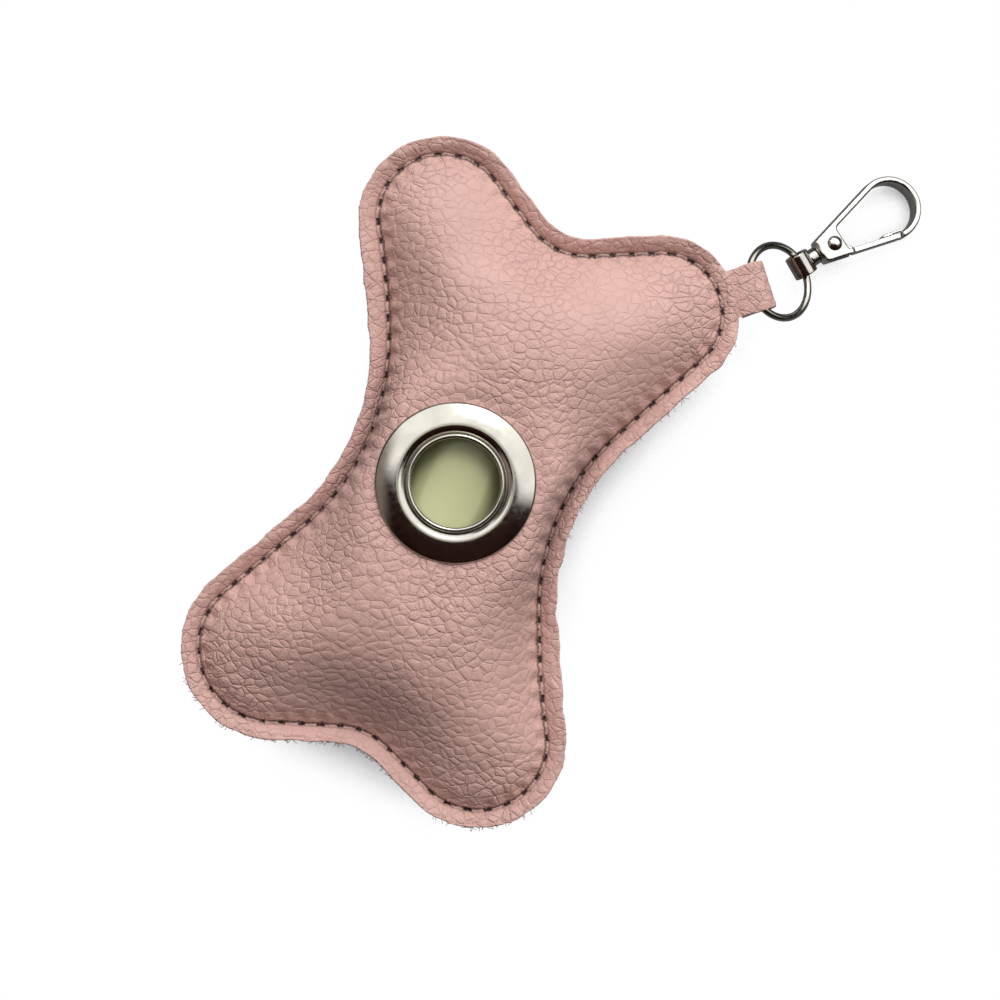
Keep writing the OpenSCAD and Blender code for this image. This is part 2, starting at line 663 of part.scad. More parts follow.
// Gate: a lug on the pin, and a bar that closes the hook from inside the nose
lug_low = -1.2;
lug_high = 0.1;
module gate() {
    color(nickel) at_hook() {
        difference() {
            union() {
                translate([0, 0, lug_low]) linear_extrude(lug_high - lug_low) {
                    translate([pin_x, 0]) circle(r = 1.65);
                    polygon([[pin_x - 1.2, -1.1], [pin_x + 1.2, 1.1], strip_point(gate_start + 1, strip_t),
                        strip_point(gate_start + 0.15, 0.1)]);
                }
                linear_extrude(gate_depth, center = true) intersection() {
                    translate([pin_x, 0]) circle(r = gate_reach);
                    polygon([strip_point(gate_start + 0.15, 0.1), strip_point(gate_start + 0.15, strip_t),
                        strip_point(gate_start + bow_out, strip_t), strip_point(gate_start + bow_out, 0.1)]);
                }
                linear_extrude(gate_depth - 1.6, center = true) intersection() {
                    translate([pin_x, 0]) circle(r = gate_reach + 0.9);
                    polygon([strip_point(gate_start + 6, strip_t - 0.1), strip_point(gate_start + 8, strip_t + 0.7),
                        strip_point(gate_start + bow_out, strip_t + 0.7), strip_point(gate_start + bow_out, strip_t + 0.25),
                        strip_point(gate_start + 9.6, strip_t + 0.25), strip_point(gate_start + 9.6, strip_t - 0.1)]);
                }
            }
            translate([pin_x, 0, 0]) cylinder(d = pin_d + 2 * turn_fit, h = hook_depth, center = true);
        }
    }
}

module gate_spring() {
    wire = 0.4;
    coil_r = pin_d / 2 + 0.1 + wire / 2;
    low = lug_high + 0.1 + wire / 2;
    color("silver") at_hook() translate([pin_x, 0, low]) {
        for (i = [0:2]) translate([0, 0, i * 0.3])
            rotate_extrude() translate([coil_r, 0]) circle(d = wire, $fn = 16);
        translate([0, coil_r, 0.6]) rotate([0, -90, 0]) cylinder(d = wire, h = pin_out - 2.3, $fn = 16);
    }
}

front_panel();
back_panel();
seam_stitching();
eyelet();
eyelet_washer();
bag_roll();
roll_core();
zip_tape_left();
zip_tape_right();
zip_teeth_left();
zip_teeth_right();
zip_top_stops();
zip_bottom_stop();
zip_stitching();
zip_slider();
zip_pull();
hanger_tab();
hanger_ring();
swivel_eye();
swivel_head();
hook_body();
gate_pin();
gate_spring();
gate();
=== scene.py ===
import json
import math
from collections import namedtuple
from contextlib import contextmanager

import bmesh
import bpy
import numpy as np
from bpy.props import FloatProperty, FloatVectorProperty, IntProperty, PointerProperty
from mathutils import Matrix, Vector


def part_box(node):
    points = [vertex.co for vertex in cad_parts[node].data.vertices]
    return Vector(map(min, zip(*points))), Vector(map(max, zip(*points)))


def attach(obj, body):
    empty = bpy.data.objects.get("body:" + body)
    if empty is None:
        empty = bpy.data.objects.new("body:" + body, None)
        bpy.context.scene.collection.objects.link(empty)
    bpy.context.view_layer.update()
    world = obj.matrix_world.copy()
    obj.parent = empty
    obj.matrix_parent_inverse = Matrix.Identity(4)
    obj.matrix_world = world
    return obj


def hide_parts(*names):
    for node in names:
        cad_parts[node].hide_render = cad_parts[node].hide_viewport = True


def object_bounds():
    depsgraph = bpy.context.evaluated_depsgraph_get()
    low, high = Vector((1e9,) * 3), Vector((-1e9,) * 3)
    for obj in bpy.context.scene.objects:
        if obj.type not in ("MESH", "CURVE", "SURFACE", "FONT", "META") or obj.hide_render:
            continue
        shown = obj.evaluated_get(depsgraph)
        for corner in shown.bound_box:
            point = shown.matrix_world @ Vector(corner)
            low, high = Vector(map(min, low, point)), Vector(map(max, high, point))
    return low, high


bl_info = {
    "name": "Bone pouch dresser",
    "version": (1, 0, 0),
    "blender": (4, 5, 0),
    "location": "View3D > Sidebar > Bone pouch",
    "description": "Puffed leather, seams, eyelet, zip and clasp of a bone-shaped waste bag pouch",
    "category": "Object",
}

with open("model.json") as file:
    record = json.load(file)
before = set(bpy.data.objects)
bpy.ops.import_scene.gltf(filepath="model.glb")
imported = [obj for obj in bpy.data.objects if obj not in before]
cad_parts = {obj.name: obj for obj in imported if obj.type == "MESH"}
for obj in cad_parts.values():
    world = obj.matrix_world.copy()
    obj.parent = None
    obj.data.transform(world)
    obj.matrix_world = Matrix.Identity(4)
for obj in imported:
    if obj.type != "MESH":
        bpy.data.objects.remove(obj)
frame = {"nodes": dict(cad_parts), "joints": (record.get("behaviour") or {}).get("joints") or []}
CAD_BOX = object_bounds()
MM = 0.001


def box_mm(node):
    """Lowest and highest corner of a CAD node, in millimetres."""
    low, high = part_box(node)
    return np.array(low) / MM, np.array(high) / MM


def joint_place(name):
    """Place of one of the frame's joints, in millimetres."""
    found = next(j for j in frame["joints"] if j["name"] == name)
    return np.array(found["pos_m"]) / MM


# Levels and sizes that come from the frame, in millimetres
TABLE_Z = CAD_BOX[0].z / MM
ROLL_LOW, ROLL_HIGH = box_mm("bag_roll")
SEAM_Z = (ROLL_LOW[2] + ROLL_HIGH[2]) / 2
EYELET_LOW, EYELET_HIGH = box_mm("eyelet")
TAPE_Z = box_mm("zip_tape_right")[0][2]

# The bone's pattern: centre and radius of each lobe and valley, and how far the sewn bag
# strays there from it. Lobes turn left and valleys turn right, from the hanger's lobe.
LOBE = (24.4, 48.4, 17.8)
NOTCH = (57.8, 11.4)
WAIST = (25.0, 43.0)
WANDER = [
    (1.2, 1.0, -1.4), (0.9, -0.9, -0.1), (0, 1.2, -0.3), (-0.3, 1.5, 1.1),
    (2.3, 1.6, 1.3), (2.2, -2.0, 0.7), (0.7, 0.7, 0.6), (0.7, 1.7, 0),
]
PATTERN = [
    (way * x, way * y, radius) for way in (1, -1) for x, y, radius in (
        LOBE, (0, NOTCH[0] + NOTCH[1], NOTCH[1]),
        (-LOBE[0], *LOBE[1:]), (-WAIST[0] - WAIST[1], 0, WAIST[1]))
]
ROUNDS = np.array(PATTERN) + np.array(WANDER)
BENDS = np.array([1, -1] * 4)

# How the leather lies: side walls, crown of the lobes, fall towards the ends, zip valley
FRONT_WALL = 4.5
BACK_WALL = 4.6
FRONT_CROWN = 22.0
BACK_CROWN = 9.0
FRONT_FALL = 4.5
BACK_FALL = 1.5
# Places along a side of the seam that are taken to hold the leather down
PULLS = 40
# The coarse cloth: its cells, its enlargement, the frames it swells for, how far a point may go
# and how many times the swell is evened out
COARSE = (46, 76)
CLOTH_SCALE = 10.0
SWELL_FRAMES = 20
SWELL_CAP = 1.0
IRONING = 30
CLOTH = {
    "quality": 7, "mass": 0.4, "tension_stiffness": 30, "compression_stiffness": 30,
    "shear_stiffness": 12, "bending_stiffness": 2.0, "tension_damping": 12,
    "compression_damping": 12, "shear_damping": 12, "bending_damping": 4, "air_damping": 4,
    "vertex_group_mass": "held", "pin_stiffness": 5, "use_pressure": True,
    "uniform_pressure_force": 7, "shrink_min": -0.035,
}
# The seam: how far the stitches are from the wall's foot, and the foot's number in the panels'
# attribute "beside", well above the 0 that leather without the attribute reads
STITCH_GAP = 0.7
SEAM_MARK = 5.0
# Radius of the coat over the flange's edge, and how much of the crease colour shows
COAT_ROUND = 0.4
CREASE_SHARE = 0.22
# Where the front leather is pulled smooth: x, y, reach and the share of the grain left, and the
# level of these places
SMOOTH_SPOTS = ((12, 44, 22, 0.25), (-15, 49, 15, 0.45), (24, 56, 14, 0.5))
SPOT_Z = 14.0
# The hole under the eyelet, the zip's slot and the valley around it
HOLE_RADIUS = 9.7
SLOT_HALF = 4.6
SLOT_END = 41.2
VALLEY_X = SLOT_HALF + 5.2
VALLEY_Y = SLOT_END + 5.4
VALLEY_RISE = 4.0
# Side of the bone whose cut edge has frayed, and where and which way the hanger stands
FRAYED = math.radians(-67)
HANGER_PLACE = math.radians(39)
HANGER_TURN = math.radians(41)
HANGER_EDGE = ROUNDS[0, :2] + ROUNDS[0, 2] * np.array(
    [math.cos(HANGER_PLACE), math.sin(HANGER_PLACE)])


def linear(text):
    """Linear colour of an sRGB hex value."""
    parts = [int(text[i:i + 2], 16) / 255 for i in (1, 3, 5)]
    return tuple(c / 12.92 if c <= 0.04045 else ((c + 0.055) / 1.055) ** 2.4 for c in parts)


SEAM_SHADE = linear("#2C0F0C")


# ---------------------------------------------------------------- settings


class LeatherSettings(bpy.types.PropertyGroup):
    thickness: FloatProperty(
        name="Thickness", description="Thickness of the coated leather",
        default=0.0012, min=0.0005, unit="LENGTH")
    flange: FloatProperty(
        name="Flange", description="Width of the flat flange outside the seam",
        default=0.0049, min=0.002, unit="LENGTH")
    curl: FloatProperty(
        name="Curl", description="How far the flange's edge curls up from the seam",
        default=0.0017, min=0, unit="LENGTH")
    pebble: FloatProperty(
        name="Pebble", description="Width of a pebble of the grain",
        default=0.002, min=0.0005, unit="LENGTH")
    relief: FloatProperty(
        name="Relief", description="Depth of the creases between pebbles",
        default=0.0003, min=0, unit="LENGTH")
    across: IntProperty(
        name="Cells across", description="Mesh cells across the bone", default=180, min=24)
    along: IntProperty(
        name="Cells along", description="Mesh cells along the bone", default=300, min=38)
    rings: IntProperty(
        name="Flange rings", description="Mesh rings over the flange", default=16, min=6)
    colour: FloatVectorProperty(
        name="Colour", description="Dusty pink of the coat", subtype="COLOR", size=3,
        default=linear("#E1B6AC"))
    crease_colour: FloatVectorProperty(
        name="Crease colour", description="Colour down in the creases", subtype="COLOR", size=3,
        default=linear("#B48B83"))
    backing_colour: FloatVectorProperty(
        name="Backing colour", description="Cream of the cut edge and backing", subtype="COLOR",
        size=3, default=linear("#E8D2C0"))


class SeamSettings(bpy.types.PropertyGroup):
    pitch: FloatProperty(
        name="Pitch", description="Pitch of the stitches around the edge",
        default=0.0041, min=0.002, unit="LENGTH")
    length: FloatProperty(
        name="Length", description="Length of a stitch that shows",
        default=0.0024, min=0.001, unit="LENGTH")
    thread: FloatProperty(
        name="Thread", description="Diameter of one of the thread's two plies",
        default=0.0003, min=0.0002, unit="LENGTH")
    slant: FloatProperty(
        name="Slant", description="Slant of each stitch against the seam",
        default=math.radians(20), subtype="ANGLE")
    zip_pitch: FloatProperty(
        name="Zip pitch", description="Pitch of the stitches beside the zip",
        default=0.003, min=0.002, unit="LENGTH")
    colour: FloatVectorProperty(
        name="Colour", description="Pale pink of the thread", subtype="COLOR", size=3,
        default=linear("#E6C3B8"))


class MetalSettings(bpy.types.PropertyGroup):
    bevel: FloatProperty(
        name="Edge radius", description="Rounding of the cast pieces' edges",
        default=0.00028, min=0, unit="LENGTH")
    dark: FloatVectorProperty(
        name="Dark nickel", description="Plating of the eyelet, ring and swivel", subtype="COLOR",
        size=3, default=linear("#B7B3AA"))
    bright: FloatVectorProperty(
        name="Bright nickel", description="Plating of the hook and the zip", subtype="COLOR",
        size=3, default=linear("#C9C8BF"))


class RollSettings(bpy.types.PropertyGroup):
    folds: IntProperty(
        name="Folds", description="Soft folds around the wound film", default=9, min=0)
    colour: FloatVectorProperty(
        name="Film colour", description="Yellow-green of the bag film", subtype="COLOR", size=3,
        default=linear("#F3F398"))


class ZipSettings(bpy.types.PropertyGroup):
    chain: FloatProperty(
        name="Chain", description="Length of the closed chain",
        default=0.073, min=0.02, unit="LENGTH")
    pitch: FloatProperty(
        name="Pitch", description="Pitch of the teeth along one tape",
        default=0.0025, min=0.001, unit="LENGTH")
    tape_colour: FloatVectorProperty(
        name="Tape colour", description="Pink of the woven tape", subtype="COLOR", size=3,
        default=linear("#C89D94"))
    tooth_colour: FloatVectorProperty(
        name="Tooth colour", description="Pink of the moulded teeth", subtype="COLOR", size=3,
        default=linear("#CBA198"))


class StageSettings(bpy.types.PropertyGroup):
    height: FloatProperty(
        name="Camera height", description="Height of the camera above the eyelet",
        default=0.436, min=0.1, unit="LENGTH")
    view_width: FloatProperty(
        name="View width", description="Width seen at the eyelet's level",
        default=0.2037, min=0.05, unit="LENGTH")
    place: FloatVectorProperty(
        name="Camera place", description="Point that the camera looks down on", size=2,
        default=(0.00969, 0.00035), unit="LENGTH")
    turn: FloatProperty(
        name="Turn", description="Turn of the picture against the pouch",
        default=math.radians(22.99), subtype="ANGLE")
    key: FloatProperty(
        name="Key power", description="Power of the key lamp in watts", default=2.2, min=0)
    sheets: FloatProperty(
        name="Sheets", description="Strength of the lit sheets around the table",
        default=0.9, min=0)
    room: FloatProperty(
        name="Room", description="Strength of the room in polished metal", default=1.9, min=0)
    fill: FloatProperty(
        name="Fill", description="Strength of the even light", default=0.03, min=0)


def settings(name):
    """One of the scene's groups of settings."""
    return getattr(bpy.context.scene, "bone_pouch_" + name)


def mm(length):
    """Metres to millimetres."""
    return length / MM


# ---------------------------------------------------------------- meshes


def smooth(x, low, high):
    """0 up to low, 1 from high on, and a soft step between them."""
    t = np.clip((x - low) / (high - low), 0, 1)
    return t * t * (3 - 2 * t)


def wrap(angle):
    """The same angle within half a turn of 0."""
    return angle - 2 * math.pi * np.round(angle / (2 * math.pi))


def linked(name, data):
    """A new object in the scene."""
    made = bpy.data.objects.new(name, data)
    bpy.context.scene.collection.objects.link(made)
    return made


@contextmanager
def editing(mesh):
    """Opens a mesh for editing and writes it back."""
    edit = bmesh.new()
    edit.from_mesh(mesh)
    yield edit
    edit.to_mesh(mesh)
    edit.free()


def face_outwards(piece):
    """Turns a closed piece's faces outwards."""
    with editing(piece.data) as edit:
        bmesh.ops.recalc_face_normals(edit, faces=edit.faces)


def mesh_piece(name, points, faces, materials, picks=None, layers=None):
    """A piece from points in millimetres and faces, with a material number for each face."""
    mesh = bpy.data.meshes.new(name)
    mesh.from_pydata((np.asarray(points) * MM).tolist(), [], [tuple(f) for f in faces])
    for material in materials:
        mesh.materials.append(material)
    if picks is not None:
        mesh.polygons.foreach_set("material_index", np.asarray(picks, np.int32))
    for key, values in (layers or {}).items():
        layer = mesh.attributes.new(key, "FLOAT", "POINT")
        layer.data.foreach_set("value", np.asarray(values, np.float32))
    mesh.shade_smooth()
    mesh.update()
    return linked(name, mesh)


def grid_faces(rows, columns, start=0, close=False):
    """Quads over a grid of rows by columns of points; close joins the last column to the first."""
    reach = columns if close else columns - 1
    j, i = np.meshgrid(np.arange(rows - 1), np.arange(reach), indexing="ij")
    k = (i + 1) % columns
    quads = [j * columns + i, j * columns + k, (j + 1) * columns + k, (j + 1) * columns + i]
    return np.stack(quads, -1).reshape(-1, 4) + start


def lathe(name, profile, material, steps=192):
    """A closed ring from a profile of (radius, height) turned about the Z axis."""
    angles = np.linspace(0, 2 * math.pi, steps, endpoint=False)
    r, z = np.array(profile).T
    ring = np.stack([np.outer(r, np.cos(angles)), np.outer(r, np.sin(angles)),
                     np.repeat(z[:, None], steps, 1)], -1)
    faces = grid_faces(len(r) + 1, steps, close=True) % (len(r) * steps)
    return mesh_piece(name, ring.reshape(-1, 3), faces[:, ::-1], [material])


def bake(piece):
    """Turns a piece's modifiers into its plain mesh."""
    graph = bpy.context.evaluated_depsgraph_get()
    made = bpy.data.meshes.new_from_object(piece.evaluated_get(graph), depsgraph=graph)
    made.name = piece.name
    piece.modifiers.clear()
    piece.data = made
    return piece


def settle(piece, body, replaces=()):
    """Hands a finished piece to the frame."""
    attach(piece, body)
    if replaces:
        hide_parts(*replaces)
    return piece


def dress(node, material):
    """Gives a CAD node's mesh one material."""
    node.data.materials.clear()
    node.data.materials.append(material)


def node_copy(node, name, material):
    """A piece with a copy of a CAD node's mesh."""
    mesh = frame["nodes"][node].data.copy()
    mesh.name = name
    piece = linked(name, mesh)
    dress(piece, material)
    return piece


def casting(node, name, material, cell, passes, body):
    """A copy of a CAD node with every edge worn round, as a tumbled and plated casting's are."""
    piece = node_copy(node, name, material)
    remesh = piece.modifiers.new("Remesh", "REMESH")
    remesh.mode = "VOXEL"
    remesh.voxel_size = cell
    tumbling = piece.modifiers.new("Tumbling", "SMOOTH")
    tumbling.factor = 0.5
    tumbling.iterations = passes
    bake(piece)
    piece.data.shade_smooth()
    return settle(piece, body, [node])


def finished_copy(node, name, material, bevel, body):
    """A copy of a CAD node with its facets merged and its edges rounded as a casting's are."""
    piece = node_copy(node, name, material)
    with editing(piece.data) as edit:
        bmesh.ops.remove_doubles(edit, verts=edit.verts, dist=2e-6)
        bmesh.ops.dissolve_limit(edit, angle_limit=math.radians(0.6), verts=edit.verts,
                                 edges=edit.edges, delimit=set())
    piece.data.shade_smooth()
    if bevel > 0:
        rounding = piece.modifiers.new("Rounding", "BEVEL")
        rounding.width = bevel
        rounding.segments = 3
        rounding.limit_method = "ANGLE"
        rounding.angle_limit = math.radians(32)
        rounding.harden_normals = True
        rounding.use_clamp_overlap = True
        bake(piece)
    return settle(piece, body, [node])


# ---------------------------------------------------------------- outline


# A round bend of the outline and the straight after it: bend is 1 for a lobe and -1 for a
# valley, first is the angle where the arc starts, and turn is how far it goes round
Bend = namedtuple("Bend", "centre radius bend first turn heading length")


def straight(i):
    """Heading and length of the straight that leaves lobe or valley i."""
    j = (i + 1) % len(ROUNDS)
    leap = ROUNDS[j, :2] - ROUNDS[i, :2]
    across = BENDS[i] * ROUNDS[i, 2] - BENDS[j] * ROUNDS[j, 2]
    return (math.atan2(leap[1], leap[0]) + math.asin(across / np.hypot(*leap)),
            math.sqrt(leap @ leap - across * across))


def outline(inset):
    """The bone's edge moved inwards, as rows of bends."""
    rows = []
    for i in range(len(ROUNDS)):
        before, _ = straight(i - 1)
        after, length = straight(i)
        rows.append(Bend(
            ROUNDS[i, :2], ROUNDS[i, 2] - BENDS[i] * inset, BENDS[i],
            before - BENDS[i] * math.pi / 2, wrap(after - before), after, length))
    return rows


def arc_length(row):
    """Length of a bend's arc."""
    return abs(row.turn) * row.radius


def arc_points(row, t):
    """x, y and outward angle along an arc."""
    a = row.first + row.turn * t
    return np.stack([row.centre[0] + row.radius * np.cos(a), row.centre[1] + row.radius * np.sin(a),
                     a + (row.bend - 1) * math.pi / 2], -1)


def straight_points(row, t):
    """x, y and outward angle along the straight after an arc."""
    start = arc_points(row, np.ones_like(t))
    start[..., 0] += t * row.length * math.cos(row.heading)
    start[..., 1] += t * row.length * math.sin(row.heading)
    start[..., 2] = row.heading - math.pi / 2
    return start


def side_bends(rows, k):
    """Lobe, valley and next lobe of side k."""
    return rows[2 * k], rows[2 * k + 1], rows[(2 * k + 2) % len(rows)]


def side_spans(rows, k):
    """Lengths of the half arc, straight, arc, straight and half arc along side k."""
    a, b, c = side_bends(rows, k)
    return np.array([arc_length(a) / 2, a.length, arc_length(b), b.length, arc_length(c) / 2])


def side_points(rows, k, share):
    """x, y and outward angle along side k, from one lobe's tip to the next."""
    share = np.asarray(share, float)
    spans = side_spans(rows, k)
    ends = np.cumsum(spans)
    part = np.searchsorted(ends[:-1], share * ends[-1])
    t = (share * ends[-1] - np.concatenate([[0], ends[:-1]])[part]) / spans[part]
    a, b, c = side_bends(rows, k)
    made = [arc_points(a, 0.5 + t / 2), straight_points(a, t), arc_points(b, t),
            straight_points(b, t), arc_points(c, t / 2)]
    return np.choose(part[..., None], made)


def to_edge(rows, x, y):
    """Distance of each point from an outline, and its place along it in millimetres, counted
    from the tip of the hanger's lobe."""
    far = 1e3
    best = np.full(x.shape, far)
    place = np.zeros(x.shape)
    start = -arc_length(rows[0]) / 2
    for row in rows:
        vx, vy = x - row.centre[0], y - row.centre[1]
        angle = wrap(np.arctan2(vy, vx) - row.first - row.turn / 2)
        gap = np.abs(np.hypot(vx, vy) - row.radius)
        gap = np.where(np.abs(angle) <= abs(row.turn) / 2 + 1e-3, gap, far)
        nearer = gap < best
        best = np.where(nearer, gap, best)
        place = np.where(nearer, start + (0.5 + angle / row.turn) * arc_length(row), place)
        start += arc_length(row)
        end = arc_points(row, np.ones(1))[0]
        wx, wy = x - end[0], y - end[1]
        run = wx * math.cos(row.heading) + wy * math.sin(row.heading)
        gap = np.abs(wy * math.cos(row.heading) - wx * math.sin(row.heading))
        gap = np.where((run >= -0.01) & (run <= row.length + 0.01), gap, far)
        nearer = gap < best
        best = np.where(nearer, gap, best)
        place = np.where(nearer, start + run, place)
        start += row.length
    total = start + arc_length(rows[0]) / 2
    return best, np.mod(place, total)


def edge_slope(rows, x, y, step=0.05):
    """Direction away from the nearest stretch of an outline."""
    return ((to_edge(rows, x + step, y)[0] - to_edge(rows, x - step, y)[0]) / (2 * step),
            (to_edge(rows, x, y + step)[0] - to_edge(rows, x, y - step)[0]) / (2 * step))


def depth(rows, x, y, d):
    """Depth of points in the bone: the distance from the seam, evened out where several
    stretches of the seam hold the leather down."""
    share = (np.arange(PULLS) + 0.5) / PULLS
    pull = np.zeros(np.shape(x))
    for k in range(4):
        weight = side_spans(rows, k).sum() / PULLS
        for qx, qy, _ in side_points(rows, k, share):
            pull += weight / np.maximum(np.hypot(x - qx, y - qy), 0.05) ** 3
    return d + (np.sqrt(2 / pull) - d) * smooth(d, 1.5, 6)


def seam_sides(inset):
    """Length and number of stitches of each side of the seam."""
    rows = outline(inset)
    lengths = np.array([side_spans(rows, k).sum() for k in range(4)])
    return lengths, np.round(lengths / mm(settings("seam").pitch)).astype(int)


def stitch_wave(x, y):
    """1 beside each needle hole, between two stitches, and -1 beside the middle of a stitch."""
    inset = mm(settings("leather").flange) - STITCH_GAP
    _, place = to_edge(outline(inset), x, y)
    lengths, counts = seam_sides(inset)
    ends = np.cumsum(lengths)
    side = np.minimum(np.searchsorted(ends, place), 3)
    return np.cos(2 * math.pi * ((place - (ends - lengths)[side]) / lengths[side] * counts[side]))


def soft_noise(x, y, size, seed, waves=14):
    """Smooth noise from -1 to 1, with features of about the size given in millimetres."""
    rng = np.random.default_rng(seed)
    angles = rng.uniform(0, 2 * math.pi, waves)
    rates = 2 * math.pi / (size * rng.uniform(1.4, 3.2, waves))
    phases = rng.uniform(0, 2 * math.pi, waves)
    total = np.zeros(np.shape(x))
    for angle, rate, phase in zip(angles, rates, phases):
        total += np.sin(rate * (x * math.cos(angle) + y * math.sin(angle)) + phase)
    return total / math.sqrt(waves) * 0.8


def stray(x, y):
    """How far the seam was sewn outside its pattern line: least beside two of the lobes."""
    near = np.hypot(x + 30.2, y - 34.3), np.hypot(x - 31.9, y + 32.3)
    return 1.15 - 1.15 * np.exp(-(near[0] / 15) ** 2) - 0.95 * np.exp(-(near[1] / 15) ** 2)


def seam_groove(out):
    """Share of the seam's groove at a distance outside the wall's foot."""
    return np.exp(-((out - 0.5) / 0.5) ** 2)


# ---------------------------------------------------------------- puffed leather


def puff(d, wall):
    """Rise of the leather from 0 at the seam to 1 at the top of its wall."""
    return 1 - (1 - np.clip(d / wall, 0, 1)) ** 2


def front_level(x, y, d, leather):
    """Inner height of the front: steep at the waist and a long slope over the lobes."""
    lobe = smooth(np.abs(y), 0.12 * LOBE[1], 0.75 * LOBE[1])
    fall = FRONT_FALL * smooth(np.abs(y), 0.6 * LOBE[1], 1.24 * LOBE[1])
    swell = puff(d, FRONT_WALL + (FRONT_CROWN - FRONT_WALL) * lobe) ** ((1 + lobe) / 2)
    return SEAM_Z - (SEAM_Z + leather + fall) * swell


def back_level(x, y, d, leather):
    """Inner height of the back, with the zip's valley."""
    lobe = smooth(np.abs(y), 0.25 * LOBE[1], 0.91 * LOBE[1])
    fall = BACK_FALL * smooth(np.abs(y), 0.7 * LOBE[1], 1.24 * LOBE[1])
    swell = np.sqrt(puff(d, BACK_WALL + (BACK_CROWN - BACK_WALL) * lobe))
    z = SEAM_Z - (SEAM_Z - leather - TABLE_Z - fall) * swell
    valley = (1 - smooth(np.abs(x), VALLEY_X, VALLEY_X + VALLEY_RISE)) \
        * (1 - smooth(np.abs(y), VALLEY_Y, VALLEY_Y + 1.4 * VALLEY_RISE))
    return z + (TAPE_Z - z) * valley * np.minimum(d / 3, 1)


def spread(t):
    """Grid spacing along a side: finer towards the seams."""
    return 0.45 * t + 0.55 * (1 - np.cos(math.pi * t)) / 2


def grid_sides(rows, u, v, inset):
    """The four edges of the leather's grid, moved inwards."""
    edges = [side_points(rows, 2, u), side_points(rows, 0, 1 - u),
             side_points(rows, 1, 1 - v), side_points(rows, 3, v)]
    for edge in edges:
        edge[:, 0] -= inset * np.cos(edge[:, 2])
        edge[:, 1] -= inset * np.sin(edge[:, 2])
    return edges


def grid_patch(edges, u, v):
    """Grid of points between the four edges, as an array of rows along v."""
    low, high, left, right = (edge[:, :2] for edge in edges)
    u, v = u[None, :, None], v[:, None, None]
    return ((1 - v) * low[None] + v * high[None] + (1 - u) * left[:, None] + u * right[:, None]
            - (1 - u) * (1 - v) * low[0] - u * (1 - v) * low[-1]
            - (1 - u) * v * high[0] - u * v * high[-1])


def rim_order(across, along):
    """Grid places around the rim, anticlockwise from the first corner."""
    wide = across + 1
    return np.concatenate([
        np.arange(across), np.arange(along) * wide + across,
        along * wide + np.arange(across, 0, -1), np.arange(along, 0, -1) * wide])


def inflate(face, across, along, leather):
    """Puffs a coarse panel as cloth under the pressure of what it holds, with its seam, its
    eyelet and its zip held, and returns how far each of its points went, in millimetres."""
    rows = outline(mm(settings("leather").flange))
    u, v = spread(np.linspace(0, 1, across + 1)), spread(np.linspace(0, 1, along + 1))
    flat = grid_patch(grid_sides(rows, u, v, 0), u, v)
    x, y = flat[..., 0].ravel(), flat[..., 1].ravel()
    d, _ = to_edge(rows, x, y)
    level = front_level if face > 0 else back_level
    z = level(x, y, depth(rows, x, y, d), leather)
    held = np.zeros(len(x))
    held[rim_order(across, along)] = 1
    if face > 0:
        held = np.maximum(held, 1 - smooth(np.hypot(x, y), 17.0, 19.5))
    else:
        held = np.maximum(held, (1 - smooth(np.abs(x), 8, 11)) * (1 - smooth(np.abs(y), 45, 48)))
    start = np.stack([x, y, z], -1)
    quads = grid_faces(along + 1, across + 1)
    piece = mesh_piece("puffing", start * CLOTH_SCALE, quads if face > 0 else quads[:, ::-1], [])
    group = piece.vertex_groups.new(name="held")
    for i in np.nonzero(held > 0)[0]:
        group.add([int(i)], float(held[i]), "REPLACE")
    cloth = piece.modifiers.new("Cloth", "CLOTH")
    for key, value in CLOTH.items():
        setattr(cloth.settings, key, value)
    cloth.settings.effector_weights.gravity = 0
    cloth.collision_settings.use_collision = False
    scene = bpy.context.scene
    for frame_number in range(1, SWELL_FRAMES + 1):
        scene.frame_set(frame_number)
    graph = bpy.context.evaluated_depsgraph_get()
    moved = np.zeros(len(start) * 3)
    piece.evaluated_get(graph).data.vertices.foreach_get("co", moved)
    scene.frame_set(1)
    bpy.data.objects.remove(piece)
    went = moved.reshape(-1, 3) / (CLOTH_SCALE * MM) - start
    far = np.linalg.norm(went, axis=1, keepdims=True)
    went *= np.tanh(far / SWELL_CAP) * SWELL_CAP / np.maximum(far, 1e-6)
    went = went.reshape(along + 1, across + 1, 3)
    # The hide is stiffer than the coarse cells: only their slow swell is kept
    for axis in (0, 1):
        went = np.moveaxis(went, axis, 0)
        for _ in range(IRONING):
            went = (np.roll(went, 1, 0) + 2 * went + np.roll(went, -1, 0)) / 4
            went[[0, -1]] = 0
        went = np.moveaxis(went, 0, axis)
    return went * ((1 - held) * smooth(d, 0, 3)).reshape(along + 1, across + 1, 1)


def blend_rows(fine, coarse):
    """Weights that carry a coarse row of values smoothly to a fine one."""
    t = np.linspace(0, coarse, fine + 1)
    i = np.minimum(t.astype(int), coarse - 1)
    f = t - i
    weights = np.zeros((fine + 1, coarse + 1))
    parts = [(-1, -0.5 * f + f**2 - 0.5 * f**3), (0, 1 - 2.5 * f**2 + 1.5 * f**3),
             (1, 0.5 * f + 2 * f**2 - 1.5 * f**3), (2, -0.5 * f**2 + 0.5 * f**3)]
    for step, weight in parts:
        np.add.at(weights, (np.arange(fine + 1), np.clip(i + step, 0, coarse)), weight)
    return weights


def hole_edge(face, x, y):
    """Nearest point of the hole in a panel, and the distance outside it."""
    half = HOLE_RADIUS if face > 0 else SLOT_HALF
    reach = 0 if face > 0 else SLOT_END - SLOT_HALF
    middle = np.clip(y, -reach, reach)
    away = np.maximum(np.hypot(x, y - middle), 1e-6)
    return x / away * half, middle + (y - middle) / away * half, away - half


